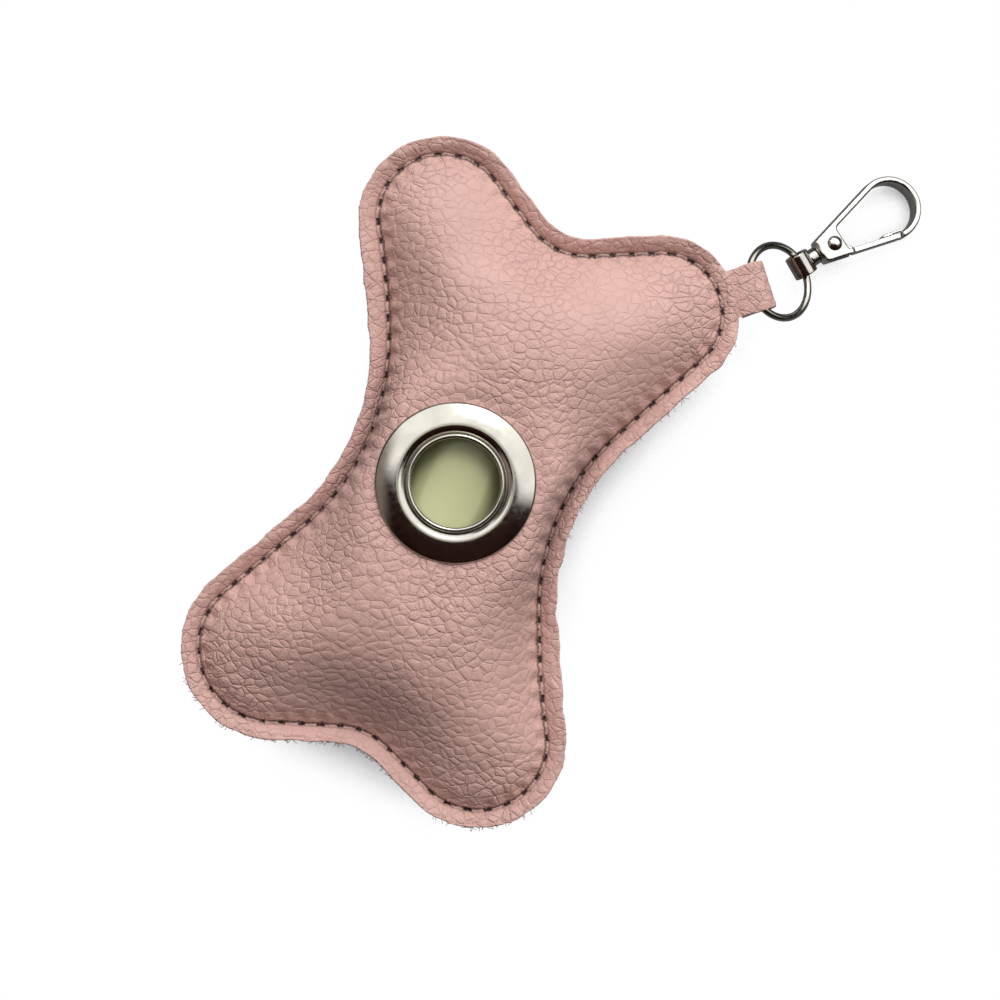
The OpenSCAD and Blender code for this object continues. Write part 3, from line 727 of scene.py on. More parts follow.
def edge_sway(x, y, out):
    """How far the flange stands above its plane: a slow wave, and a curl of its outer edge that
    lies flat where it holds the hanger."""
    s = settings("leather")
    flange = mm(s.flange)
    wave = 0.30 * soft_noise(x, y, 9, 21) + 0.1 * soft_noise(x, y, 4, 22)
    wave *= smooth(out, 0.9, flange)
    free = smooth((np.hypot(x - HANGER_EDGE[0], y - HANGER_EDGE[1]) - 6) / 5, 0, 1)
    return wave + mm(s.curl) * np.clip(out - 0.6, 0, None) / (flange - 0.6) * free


def panel_cells(face, rows, u, v):
    """The flat panel: x and y of the grid's points outside and on the backing, the cells that the
    hole leaves, and which points stand at the hole's edge."""
    across, along = len(u) - 1, len(v) - 1
    skins = []
    for inset in (0, mm(settings("leather").thickness)):
        flat = grid_patch(grid_sides(rows, u, v, inset), u, v).reshape(-1, 2)
        skins.append([flat[:, 0], flat[:, 1]])
    # Cells over the hole go, and the points around it move to its edge
    ox, oy = skins[0]
    cells = grid_faces(along + 1, across + 1)
    _, _, outside = hole_edge(face, ox[cells].mean(1), oy[cells].mean(1))
    beside_hole, beside_leather = np.zeros((2, len(ox)), bool)
    beside_hole[cells[outside <= 0].ravel()] = True
    beside_leather[cells[outside > 0].ravel()] = True
    rim = beside_hole & beside_leather
    for skin in skins:
        hx, hy, _ = hole_edge(face, skin[0][rim], skin[1][rim])
        skin[0][rim], skin[1][rim] = hx, hy
    return skins, cells[outside > 0], rim


def puffed(face, rows, skins, across, along):
    """Points of a panel's outside and backing, puffed and swelled, with their distances from
    the seam."""
    leather = mm(settings("leather").thickness)
    level = front_level if face > 0 else back_level
    (ox, oy), (ix, iy) = skins
    d, _ = to_edge(rows, ox, oy)
    d[rim_order(across, along)] = 0
    inner_d, _ = to_edge(rows, ix, iy)
    oz = level(ox, oy, depth(rows, ox, oy, d), leather) + face * leather
    iz = level(ix, iy, depth(rows, ix, iy, inner_d) - leather, leather)
    outer = np.stack([ox, oy, oz], -1)
    inner = np.stack([ix, iy, iz], -1)
    went = inflate(face, *COARSE, leather)
    carry_u, carry_v = blend_rows(across, COARSE[0]), blend_rows(along, COARSE[1])
    went = np.einsum("aj,jic,bi->abc", carry_v, went, carry_u).reshape(-1, 3)
    outer += went
    inner += went * smooth(inner_d, leather, leather + 4)[:, None]
    # Slow unevenness of the hand-filled lobes, none at the seam, the eyelet or the zip
    free = smooth(d, 1, 9)
    if face > 0:
        free = free * smooth(np.hypot(ox, oy), 18, 26)
    else:
        free = free * smooth(np.maximum(np.abs(ox) - 9, np.abs(oy) - 47), 0, 5)
    sag = (0.45 * soft_noise(ox, oy, 22, 3) + 0.16 * soft_noise(ox, oy, 8, 4)) * free * face
    outer[:, 2] += sag
    return outer, inner, d, inner_d


def draw_in(face, rows, outer, inner, d, inner_d, wave):
    """Puckers and the seam's groove: the wall swells along a stitch and is drawn in at each
    needle hole. Both skins also follow the seam where it strays."""
    outer[:, 2] -= face * 0.15 * wave * np.exp(-((d - 1.3) / 1.0) ** 2)
    outer[:, 2] -= face * (0.25 + 0.15 * wave) * seam_groove(-d)
    for skin, gap in ((outer, d), (inner, inner_d)):
        away_x, away_y = edge_slope(rows, skin[:, 0], skin[:, 1])
        shift = stray(skin[:, 0], skin[:, 1]) * (1 - smooth(gap, 0, 9))
        if skin is outer:
            shift = shift - 0.28 * wave * np.exp(-((d - 0.9) / 0.8) ** 2) * smooth(d, 0, 0.4)
        skin[:, 0] -= shift * away_x
        skin[:, 1] -= shift * away_y


def flange_rings(face, around):
    """Rings of points outwards from the seam, over the rounded coat and down the cut edge: the
    points, how far out each ring lies, how many rings are coated, and the stitches' wave."""
    s = settings("leather")
    leather, flange = mm(s.thickness), mm(s.flange)
    ax, ay, angle = around.T
    t = np.linspace(0, 1, s.rings + 1)[1:]
    reach = (flange - COAT_ROUND) * (t - 0.07 * np.sin(2 * math.pi * t))
    bend = np.linspace(0, math.pi / 2, 5)[1:]
    # Distance in from the edge and height of the rings down the cut
    cut = np.array([(0.02, 0.5), (0.06, 0.25), (0.1, 0.0)])
    out = np.concatenate([reach, flange - COAT_ROUND + COAT_ROUND * np.sin(bend),
                          flange - cut[:, 0]])
    up = np.concatenate([np.full(len(reach), leather), leather - COAT_ROUND * (1 - np.cos(bend)),
                         cut[:, 1]])
    coated = len(reach) + 3
    moved = out[:, None] + stray(ax, ay)[None] * (1 - out[:, None] / flange)
    px = ax[None] + moved * np.cos(angle[None])
    py = ay[None] + moved * np.sin(angle[None])
    sway = edge_sway(px, py, out[:, None])
    lap = stitch_wave(ax + STITCH_GAP * np.cos(angle), ay + STITCH_GAP * np.sin(angle))
    wrinkle = 0.07 * soft_noise(px, py, 1.6, 23) * smooth(out, 1.0, 1.8)[:, None]
    dome = 0.36 * np.sin(math.pi * smooth(out, 0.8, flange)) ** 0.8
    height = up[:, None] + dome[:, None] - seam_groove(out)[:, None] * (0.25 + 0.15 * lap)[None]
    height += np.where(np.arange(len(out)) < coated, 1, 0)[:, None] * wrinkle
    rng = np.random.default_rng(17 + face)
    rough = np.zeros(px.shape)
    rough[coated:] = rng.normal(0, 0.05, (len(out) - coated, len(around)))
    ragged = 0.16 * soft_noise(px[-1], py[-1], 3, 25) * smooth(out, flange - 1, flange)[:, None]
    px += (rough + ragged) * np.cos(angle[None])
    py += (rough + ragged) * np.sin(angle[None])
    points = np.stack([px, py, SEAM_Z + face * height + sway], -1)
    return points.reshape(-1, 3), out, coated, lap


def shell_faces(cells, rim, order, count, rings, coated):
    """Faces of a panel's closed shell, with 0 for coated leather and 1 for its backing. There
    are count points on each skin, and each ring of the flange follows the rim's order."""
    n = len(order)
    k, m = np.arange(n), (np.arange(n) + 1) % n
    first = 2 * count
    last = first + (rings - 1) * n
    # Wall of the hole, along each pair of its edge's points that one cell alone uses
    pairs = dict.fromkeys((int(a), int(b)) for quad in cells
                          for a, b in zip(quad, np.roll(quad, -1)) if rim[a] and rim[b])
    wall = [(b, a, a + count, b + count) for a, b in pairs if (b, a) not in pairs]
    faces = [
        cells, cells[:, ::-1] + count,
        np.stack([order[m], order[k], first + k, first + m], -1),
        grid_faces(rings, n, first, close=True)[:, ::-1],
        np.stack([last + m, last + k, count + order[k], count + order[m]], -1),
        np.array(wall),
    ]
    picks = [np.zeros(len(cells)), np.ones(len(cells)), np.zeros(n),
             np.repeat(np.arange(rings - 1) >= coated, n), np.ones(n), np.ones(len(wall))]
    return np.concatenate(faces), np.concatenate(picks)


def panel(name, face, materials):
    """A leather panel as one closed shell: its puffed outside with the grain's swell, its flange
    with a stitch groove and a cut edge, and its backing."""
    s = settings("leather")
    flange = mm(s.flange)
    rows = outline(flange)
    u, v = (spread(np.linspace(0, 1, cells + 1)) for cells in (s.across, s.along))
    skins, cells, rim = panel_cells(face, rows, u, v)
    outer, inner, d, inner_d = puffed(face, rows, skins, s.across, s.along)
    wave = stitch_wave(*skins[0])
    draw_in(face, rows, outer, inner, d, inner_d, wave)
    if face < 0:
        outer[:, 2] = np.maximum(outer[:, 2], TABLE_Z + 0.02)
    low, high, left, right = grid_sides(rows, u, v, 0)
    around = np.concatenate([low[:-1], right[:-1], high[:0:-1], left[:0:-1]])
    rings, out, coated, lap = flange_rings(face, around)
    # Where the material finds the seam: "beside" is SEAM_MARK at the wall's foot and more
    # outside it, and "lap" is 1 at each needle hole
    n, count = len(around), len(outer)
    beside = SEAM_MARK + np.concatenate([-d, np.full(count, -2 * SEAM_MARK), np.repeat(out, n)])
    laps = np.concatenate([wave, np.zeros(count), np.tile(lap, len(out))])
    edging = 0.6 * smooth(out, 1.1, 1.8) * smooth(-out, -flange + 0.4, -flange + 1)
    swell = smooth(d, 0.3, 2.5) * np.where(rim, 0, 1)
    if face > 0:
        for x, y, reach, share in SMOOTH_SPOTS:
            away = np.hypot(outer[:, 0] - x, outer[:, 1] - y)
            swell *= share + (1 - share) * smooth(away, 0.4 * reach, reach)
    swell = np.concatenate([swell, np.zeros(count), np.repeat(edging, n)])
    faces, picks = shell_faces(cells, rim, rim_order(s.across, s.along), count, len(out), coated)
    piece = mesh_piece(name, np.concatenate([outer, inner, rings]),
                       faces if face > 0 else faces[:, ::-1], materials, picks,
                       {"beside": np.maximum(beside, 0), "lap": laps, "swell": swell})
    raise_grain(piece)
    piece.data.set_sharp_from_angle(angle=math.radians(70))
    with editing(piece.data) as edit:
        loose = [v for v in edit.verts if not v.link_faces]
        bmesh.ops.delete(edit, geom=loose, context="VERTS")
    return piece


# ---------------------------------------------------------------- nodes


# Numbers of a Mix node's sockets for colours
SHARE, FIRST, SECOND, MIXED = 0, 6, 7, 2


def add(tree, kind, inputs=None, **values):
    """Adds a node with its settings, then its inputs as values or as links from sockets."""
    node = tree.nodes.new(kind)
    for key, value in values.items():
        setattr(node, key, value)
    for key, value in (inputs or {}).items():
        socket = node.inputs[key]
        if isinstance(value, bpy.types.NodeSocket):
            tree.links.new(value, socket)
        elif socket.type == "RGBA":
            socket.default_value = (*value, 1)
        else:
            socket.default_value = value
    return node


def node_tree(name, **kinds):
    """A Geometry Nodes tree with a geometry and the inputs named: the tree, the node that gives
    its inputs, and their sockets."""
    tree = bpy.data.node_groups.new(name, "GeometryNodeTree")
    tree.interface.new_socket("Geometry", in_out="INPUT", socket_type="NodeSocketGeometry")
    sockets = {key: tree.interface.new_socket(key, in_out="INPUT", socket_type="NodeSocket" + kind)
               for key, kind in kinds.items()}
    tree.interface.new_socket("Geometry", in_out="OUTPUT", socket_type="NodeSocketGeometry")
    return tree, add(tree, "NodeGroupInput").outputs, sockets


def grow(piece, tree, sockets, **values):
    """Runs a tree on a piece with a value for each of its inputs, and bakes the result."""
    modifier = piece.modifiers.new(tree.name, "NODES")
    modifier.node_group = tree
    for key, value in values.items():
        modifier[sockets[key].identifier] = value
    return bake(piece)


def grain_height(tree, place, fine=True):
    """Height of the pebbled grain at a place counted in pebbles: 1 on the pebbles, 0 in the
    creases. Large pebbles give way to small ones over the hide, and long creases cross them."""
    drift = add(tree, "ShaderNodeTexNoise", {"Vector": place, "Scale": 0.25, "Detail": 1.0})
    swing = add(tree, "ShaderNodeVectorMath", {0: drift.outputs["Color"], 1: (0.5, 0.5, 0.5)},
                operation="SUBTRACT")
    warped = add(tree, "ShaderNodeVectorMath",
                 {0: swing.outputs[0], 1: (0.8, 0.8, 0.8), 2: place}, operation="MULTIPLY_ADD")
    parts = []
    # size in pebbles, length over width, direction, half width of the crease, depth
    sorts = [(1.25, 1.3, 0.4, 0.055, 0.5), (3.0, 2.8, 1.19, 0.025, 0.16),
             (3.2, 2.8, -0.38, 0.025, 0.16)]
    if fine:
        sorts += [(0.6, 1.3, -0.6, 0.08, 0.14)]
    for size, long, way, half, depth in sorts:
        turned = add(tree, "ShaderNodeVectorRotate", {"Vector": warped.outputs[0], "Angle": -way},
                     rotation_type="Z_AXIS")
        shaped = add(tree, "ShaderNodeVectorMath", {0: turned.outputs[0], 1: (1, 1 / long, 1)},
                     operation="DIVIDE")
        cells = add(tree, "ShaderNodeTexVoronoi",
                    {"Vector": shaped.outputs[0], "Scale": 1 / size, "Randomness": 1.0},
                    feature="DISTANCE_TO_EDGE")
        part = add(tree, "ShaderNodeMapRange",
                   {"Value": cells.outputs["Distance"], "From Max": half * (2 if fine else 3.5),
                    "To Min": -depth, "To Max": 0.0}, interpolation_type="SMOOTHSTEP")
        parts.append(part.outputs["Result"])
    total = parts[0]
    for part in parts[1:]:
        total = add(tree, "ShaderNodeMath", {0: total, 1: part}, operation="ADD").outputs[0]
    return add(tree, "ShaderNodeMath", {0: total, 1: 1.0}, operation="ADD").outputs[0]


def raise_grain(piece):
    """Raises the pebbles in the mesh itself, where the leather is free to show them."""
    s = settings("leather")
    tree, source, sockets = node_tree("Pebble swell", Relief="Float", Pebble="Float")
    place = add(tree, "GeometryNodeInputPosition")
    rate = add(tree, "ShaderNodeMath", {0: 1.0, 1: source["Pebble"]}, operation="DIVIDE")
    counted = add(tree, "ShaderNodeVectorMath", {0: place.outputs[0], "Scale": rate.outputs[0]},
                  operation="SCALE")
    height = grain_height(tree, counted.outputs[0], fine=False)
    share = add(tree, "GeometryNodeInputNamedAttribute", {"Name": "swell"}, data_type="FLOAT")
    lowered = add(tree, "ShaderNodeMath", {0: height, 1: 1.0}, operation="SUBTRACT")
    scaled = add(tree, "ShaderNodeMath", {0: lowered.outputs[0], 1: source["Relief"]},
                 operation="MULTIPLY")
    local = add(tree, "ShaderNodeMath", {0: scaled.outputs[0], 1: share.outputs["Attribute"]},
                operation="MULTIPLY")
    normal = add(tree, "GeometryNodeInputNormal")
    offset = add(tree, "ShaderNodeVectorMath", {0: normal.outputs[0], "Scale": local.outputs[0]},
                 operation="SCALE")
    moved = add(tree, "GeometryNodeSetPosition",
                {"Geometry": source["Geometry"], "Offset": offset.outputs[0]})
    add(tree, "NodeGroupOutput", {0: moved.outputs[0]})
    grow(piece, tree, sockets, Relief=s.relief, Pebble=s.pebble)


# ---------------------------------------------------------------- materials


def emptied(owner):
    """The node tree of a material or a world, emptied."""
    owner.use_nodes = True
    owner.node_tree.nodes.clear()
    return owner.node_tree


def new_material(name):
    """An empty material, its tree and the object's own coordinates."""
    material = bpy.data.materials.new(name)
    tree = emptied(material)
    return material, tree, add(tree, "ShaderNodeTexCoord").outputs["Object"]


def coat(material, colour, relief, inputs):
    """Gives a material its shader: its colour, its relief as strength, depth in metres and
    height, and the shader's other inputs."""
    tree = material.node_tree
    bump = add(tree, "ShaderNodeBump", dict(zip(("Strength", "Distance", "Height"), relief)))
    shader = add(tree, "ShaderNodeBsdfPrincipled",
                 {"Base Color": colour, "Normal": bump.outputs[0], **inputs})
    add(tree, "ShaderNodeOutputMaterial", {"Surface": shader.outputs[0]})
    return material


def varied(tree, pattern, colour, dark, light=1.0):
    """The colour times dark where a pattern is 0, and times light where it is 1."""
    ends = [tuple(min(c * share, 1) for c in colour) for share in (dark, light)]
    return add(tree, "ShaderNodeMix", {SHARE: pattern, FIRST: ends[0], SECOND: ends[1]},
               data_type="RGBA").outputs[MIXED]


def band(tree, value, middle, inner, outer, top=1.0):
    """A value of top near the middle, that falls to 0 between two distances from it."""
    gap = add(tree, "ShaderNodeMath", {0: value, 1: middle}, operation="SUBTRACT")
    gap = add(tree, "ShaderNodeMath", {0: gap.outputs[0]}, operation="ABSOLUTE")
    return add(tree, "ShaderNodeMapRange",
               {"Value": gap.outputs[0], "From Min": inner, "From Max": outer, "To Min": top,
                "To Max": 0.0}, interpolation_type="SMOOTHSTEP").outputs["Result"]


def seam_shade(tree, place):
    """Shade in the needle holes, beside the thread and at the wall's foot."""
    beside = add(tree, "ShaderNodeAttribute", attribute_name="beside").outputs["Fac"]
    lap = add(tree, "ShaderNodeAttribute", attribute_name="lap").outputs["Fac"]
    ragged = add(tree, "ShaderNodeTexNoise", {"Vector": place, "Scale": 1500.0, "Detail": 2.0})
    beside = add(tree, "ShaderNodeMath", {0: ragged.outputs["Fac"], 1: 0.9, 2: beside},
                 operation="MULTIPLY_ADD").outputs[0]
    uneven = add(tree, "ShaderNodeTexNoise", {"Vector": place, "Scale": 260.0, "Detail": 1.0})
    lap = add(tree, "ShaderNodeMath", {0: uneven.outputs["Fac"], 1: 1.2, 2: lap},
              operation="MULTIPLY_ADD").outputs[0]
    foot = SEAM_MARK + 0.45
    hole = add(tree, "ShaderNodeMapRange",
               {"Value": lap, "From Min": 0.65, "From Max": 1.2}, interpolation_type="SMOOTHSTEP")
    hole = add(tree, "ShaderNodeMath", {0: hole.outputs["Result"],
                                        1: band(tree, beside, foot + 0.4, 0.2, 0.55)},
               operation="MULTIPLY")
    total = hole.outputs[0]
    for line in (band(tree, beside, foot + 0.9, 0.0, 0.35, 0.4),
                 band(tree, beside, foot, 0.1, 0.45, 0.7)):
        total = add(tree, "ShaderNodeMath", {0: total, 1: line}, operation="MAXIMUM").outputs[0]
    return total


def coated_leather():
    """Polyurethane-coated split leather, embossed with a pebbled grain: semi-matt, with light
    pebbles, darker creases and shade in the seam."""
    s = settings("leather")
    material, tree, place = new_material("coated_leather")
    counted = add(tree, "ShaderNodeVectorMath", {0: place, "Scale": 1 / s.pebble},
                  operation="SCALE")
    height = grain_height(tree, counted.outputs[0])
    fine = add(tree, "ShaderNodeTexVoronoi", {"Vector": place, "Scale": 2.6 / s.pebble},
               feature="DISTANCE_TO_EDGE")
    fine = add(tree, "ShaderNodeMapRange",
               {"Value": fine.outputs["Distance"], "From Max": 0.22, "To Max": 0.12})
    total = add(tree, "ShaderNodeMath", {0: height, 1: fine.outputs[0]}, operation="ADD")
    dust = add(tree, "ShaderNodeTexNoise", {"Vector": place, "Scale": 6 / s.pebble, "Detail": 3.0})
    total = add(tree, "ShaderNodeMath", {0: dust.outputs["Fac"], 1: 0.16, 2: total.outputs[0]},
                operation="MULTIPLY_ADD")
    # Embossing is shallow in soft patches, and where the front is pulled smooth
    patch = add(tree, "ShaderNodeTexNoise", {"Vector": place, "Scale": 38.0, "Detail": 1.0})
    strength = add(tree, "ShaderNodeMapRange",
                   {"Value": patch.outputs["Fac"], "From Min": 0.36, "From Max": 0.62,
                    "To Min": 0.45, "To Max": 1.0})
    for x, y, reach, left in SMOOTH_SPOTS:
        spot = add(tree, "ShaderNodeVectorMath", {0: place, 1: (x * MM, y * MM, SPOT_Z * MM)},
                   operation="DISTANCE")
        bare = add(tree, "ShaderNodeMapRange",
                   {"Value": spot.outputs["Value"], "From Min": 0.4 * reach * MM,
                    "From Max": reach * MM, "To Min": left, "To Max": 1.0},
                   interpolation_type="SMOOTHSTEP")
        strength = add(tree, "ShaderNodeMath", {0: strength.outputs[0], 1: bare.outputs[0]},
                       operation="MULTIPLY")
    crease = add(tree, "ShaderNodeMapRange",
                 {"Value": height, "From Min": 0.35, "From Max": 0.92, "To Min": 1.0,
                  "To Max": 0.0})
    for share in (strength.outputs[0], CREASE_SHARE):
        crease = add(tree, "ShaderNodeMath", {0: crease.outputs[0], 1: share}, operation="MULTIPLY")
    cloud = add(tree, "ShaderNodeTexNoise", {"Vector": place, "Scale": 60.0, "Detail": 3.0})
    tint = add(tree, "ShaderNodeMapRange",
               {"Value": cloud.outputs["Fac"], "From Min": 0.3, "From Max": 0.7})
    colour = varied(tree, tint.outputs[0], s.colour, 0.93, 1.06)
    for share, tone in ((crease.outputs[0], s.crease_colour),
                        (seam_shade(tree, place), SEAM_SHADE)):
        colour = add(tree, "ShaderNodeMix", {SHARE: share, FIRST: colour, SECOND: tone},
                     data_type="RGBA").outputs[MIXED]
    gloss = add(tree, "ShaderNodeMapRange",
                {"Value": height, "From Min": 0.4, "From Max": 1.0, "To Min": 0.62, "To Max": 0.47})
    return coat(material, colour, (strength.outputs[0], s.relief, total.outputs[0]),
                {"Roughness": gloss.outputs[0], "IOR": 1.46})


def leather_backing():
    """Brushed cotton backing: matt cream fibres that show as a pale line at each cut edge."""
    material, tree, place = new_material("cotton_backing")
    fibres = add(tree, "ShaderNodeTexNoise",
                 {"Vector": place, "Scale": 2500.0, "Detail": 4.0,
                  "Distortion": 1.2}).outputs["Fac"]
    colour = varied(tree, fibres, settings("leather").backing_colour, 0.82, 1.1)
    return coat(material, colour, (0.8, 0.0002, fibres), {"Roughness": 0.95, "Sheen Weight": 0.3})


def sewing_thread():
    """Two-ply bonded polyester thread: pale, with a soft lustre along its plies."""
    material, tree, place = new_material("polyester_thread")
    strands = add(tree, "ShaderNodeTexNoise",
                  {"Vector": place, "Scale": 3500.0, "Detail": 2.0}).outputs["Fac"]
    colour = varied(tree, strands, settings("seam").colour, 0.8)
    return coat(material, colour, (0.5, 0.0001, strands), {"Roughness": 0.55, "Sheen Weight": 0.25})


def plated_metal(name, colour, roughness, wear):
    """Polished nickel plate: clear reflections, faint polishing marks and a little wear."""
    material, tree, place = new_material(name)
    marks = add(tree, "ShaderNodeTexNoise",
                {"Vector": place, "Scale": 900.0, "Detail": 4.0}).outputs["Fac"]
    cloud = add(tree, "ShaderNodeTexNoise", {"Vector": place, "Scale": 220.0, "Detail": 2.0})
    tone = add(tree, "ShaderNodeMapRange",
               {"Value": cloud.outputs["Fac"], "From Min": 0.35, "From Max": 0.65})
    rough = add(tree, "ShaderNodeMapRange",
                {"Value": marks, "From Min": 0.3, "From Max": 0.7,
                 "To Min": roughness * 0.7, "To Max": roughness * 1.4})
    return coat(material, varied(tree, tone.outputs[0], colour, 1 - wear), (0.06, 0.0001, marks),
                {"Roughness": rough.outputs[0], "Metallic": 1.0})


def bag_film():
    """Thin dyed polyethylene film wound on itself: smooth, a little waxy, with soft streaks, and a
    weak painted glow that makes it brighter."""
    material, tree, place = new_material("bag_film")
    long_way = add(tree, "ShaderNodeVectorMath", {0: place, 1: (1.0, 0.18, 1.0)},
                   operation="MULTIPLY")
    streaks = add(tree, "ShaderNodeTexNoise",
                  {"Vector": long_way.outputs[0], "Scale": 260.0, "Detail": 3.0,
                   "Distortion": 0.4}).outputs["Fac"]
    colour = settings("roll").colour
    # The emission is a painted glow that brightens the film
    return coat(material, varied(tree, streaks, colour, 0.84, 1.07), (0.35, 0.0003, streaks),
                {"Roughness": 0.38, "Subsurface Weight": 0.5,
                 "Subsurface Radius": (0.005, 0.005, 0.003), "Emission Color": colour,
                 "Emission Strength": 0.36})


def kraft_card():
    """Spiral-wound grey-brown card: matt and fibrous."""
    material, tree, place = new_material("kraft_card")
    fibres = add(tree, "ShaderNodeTexNoise",
                 {"Vector": place, "Scale": 1200.0, "Detail": 5.0}).outputs["Fac"]
    tone = add(tree, "ShaderNodeMix",
               {SHARE: fibres, FIRST: linear("#9A7B58"), SECOND: linear("#C4A57C")},
               data_type="RGBA")
    return coat(material, tone.outputs[MIXED], (0.4, 0.0001, fibres), {"Roughness": 0.9})


def tape_weave():
    """Woven polyester zip tape: fine ribs across and along, a soft sheen."""
    material, tree, place = new_material("tape_weave")
    ribs = []
    # Thread spacing 0.55 mm, coarser than life so that the ribs show
    for turn in (0.78, -0.78):
        turned = add(tree, "ShaderNodeVectorRotate", {"Vector": place, "Angle": turn},
                     rotation_type="Z_AXIS")
        wave = add(tree, "ShaderNodeTexWave",
                   {"Vector": turned.outputs[0], "Scale": 1 / (0.00055 * 3.14), "Distortion": 0.3,
                    "Detail": 1.0}, bands_direction="X")
        ribs.append(wave.outputs["Fac"])
    weave = add(tree, "ShaderNodeMath", dict(enumerate(ribs)), operation="MAXIMUM").outputs[0]
    colour = varied(tree, weave, settings("zip").tape_colour, 0.62)
    return coat(material, colour, (0.7, 0.00012, weave), {"Roughness": 0.8, "Sheen Weight": 0.3})


def moulded_nylon():
    """Injection-moulded nylon: even colour, satin, with a faint orange peel."""
    material, tree, place = new_material("moulded_nylon")
    peel = add(tree, "ShaderNodeTexNoise",
               {"Vector": place, "Scale": 1500.0, "Detail": 2.0}).outputs["Fac"]
    colour = varied(tree, peel, settings("zip").tooth_colour, 0.9)
    return coat(material, colour, (0.15, 0.0001, peel), {"Roughness": 0.36})


def shared(name, make, *values):
    """The material of that name, made the first time it is asked for."""
    return bpy.data.materials.get(name) or make(*values)


def leather():
    """The coated leather, shared by its pieces."""
    return shared("coated_leather", coated_leather)


def backing():
    """The leather's backing, shared by its pieces."""
    return shared("cotton_backing", leather_backing)


def thread():
    """The thread, shared by both seams."""
    return shared("polyester_thread", sewing_thread)


def dark_nickel():
    """The plating of the eyelet, ring and swivel."""
    colour = settings("metal").dark
    return shared("black_nickel", plated_metal, "black_nickel", colour, 0.13, 0.12)


def bright_nickel():
    """The plating of the hook and the zip."""
    colour = settings("metal").bright
    return shared("bright_nickel", plated_metal, "bright_nickel", colour, 0.09, 0.06)


# ---------------------------------------------------------------- stitches


def thread_tree():
    """Geometry nodes that lay a twisted two-ply stitch at each point, along its own direction."""
    tree, source, sockets = node_tree("Stitches", Length="Float", Ply="Float", Dive="Float",
                                      Material="Material")
    # Ends and handles of a stitch's arc: share of its length along, and what it rises by
    arc = []
    for share, key, rise in ((-0.5, "Dive", -1.0), (-0.36, "Ply", 0.5), (0.36, "Ply", 0.5),
                             (0.5, "Dive", -1.0)):
        x = add(tree, "ShaderNodeMath", {0: source["Length"], 1: share}, operation="MULTIPLY")
        z = add(tree, "ShaderNodeMath", {0: source[key], 1: rise}, operation="MULTIPLY")
        arc.append(add(tree, "ShaderNodeCombineXYZ", {"X": x.outputs[0], "Z": z.outputs[0]}))
    arc = [point.outputs[0] for point in arc]
    path = add(tree, "GeometryNodeCurvePrimitiveBezierSegment",
               {"Start": arc[0], "Start Handle": arc[1], "End Handle": arc[2], "End": arc[3],
                "Resolution": 12})
    along = add(tree, "GeometryNodeSplineParameter")
    twist = add(tree, "ShaderNodeMath", {0: along.outputs["Factor"], 1: 2.2 * math.pi},
                operation="MULTIPLY")
    tilted = add(tree, "GeometryNodeSetCurveTilt",
                 {"Curve": path.outputs[0], "Tilt": twist.outputs[0]})
    radius = add(tree, "ShaderNodeMath", {0: source["Ply"], 1: 0.5}, operation="MULTIPLY")
    ring = add(tree, "GeometryNodeCurvePrimitiveCircle",
               {"Resolution": 7, "Radius": radius.outputs[0]})
    plies = add(tree, "GeometryNodeJoinGeometry")
    for side in (0.42, -0.42):
        offset = add(tree, "ShaderNodeMath", {0: source["Ply"], 1: side}, operation="MULTIPLY")
        place = add(tree, "ShaderNodeCombineXYZ", {"X": offset.outputs[0]})
        ply = add(tree, "GeometryNodeTransform",
                  {"Geometry": ring.outputs[0], "Translation": place.outputs[0]})
        tree.links.new(ply.outputs[0], plies.inputs[0])
    swept = add(tree, "GeometryNodeCurveToMesh",
                {"Curve": tilted.outputs[0], "Profile Curve": plies.outputs[0], "Fill Caps": True})
    way = add(tree, "GeometryNodeInputNamedAttribute", {"Name": "way"}, data_type="FLOAT_VECTOR")
    up = add(tree, "GeometryNodeInputNamedAttribute", {"Name": "up"}, data_type="FLOAT_VECTOR")
    turn = add(tree, "FunctionNodeAlignRotationToVector", {"Vector": way.outputs["Attribute"]},
               axis="X")
    turn = add(tree, "FunctionNodeAlignRotationToVector",
               {"Rotation": turn.outputs[0], "Vector": up.outputs["Attribute"]}, axis="Z",
               pivot_axis="X")
    laid = add(tree, "GeometryNodeInstanceOnPoints",
               {"Points": source["Geometry"], "Instance": swept.outputs[0],
                "Rotation": turn.outputs[0]})
    real = add(tree, "GeometryNodeRealizeInstances", {"Geometry": laid.outputs[0]})
    soft = add(tree, "GeometryNodeSetShadeSmooth", {"Geometry": real.outputs[0]})
    done = add(tree, "GeometryNodeSetMaterial",
               {"Geometry": soft.outputs[0], "Material": source["Material"]})
    add(tree, "NodeGroupOutput", {0: done.outputs[0]})
    return tree, sockets


def points_piece(name, places, ways, ups):
    """Loose points in millimetres, each with a direction along and a direction up."""
    piece = mesh_piece(name, places, [], [])
    for key, values in (("way", ways), ("up", ups)):
        layer = piece.data.attributes.new(key, "FLOAT_VECTOR", "POINT")
        layer.data.foreach_set("vector", np.asarray(values, np.float32).ravel())
    return piece


def lay_stitches(name, places, ways, ups, length, replaced, ply=None, dive=0.0009, material=None):
    """One piece of thread stitches, or of loose fibres, at the places given."""
    piece = points_piece(name, places, ways, ups)
    grow(piece, *thread_tree(), Length=length, Ply=ply or settings("seam").thread, Dive=dive,
         Material=material or thread())
    return settle(piece, "pouch", replaced)


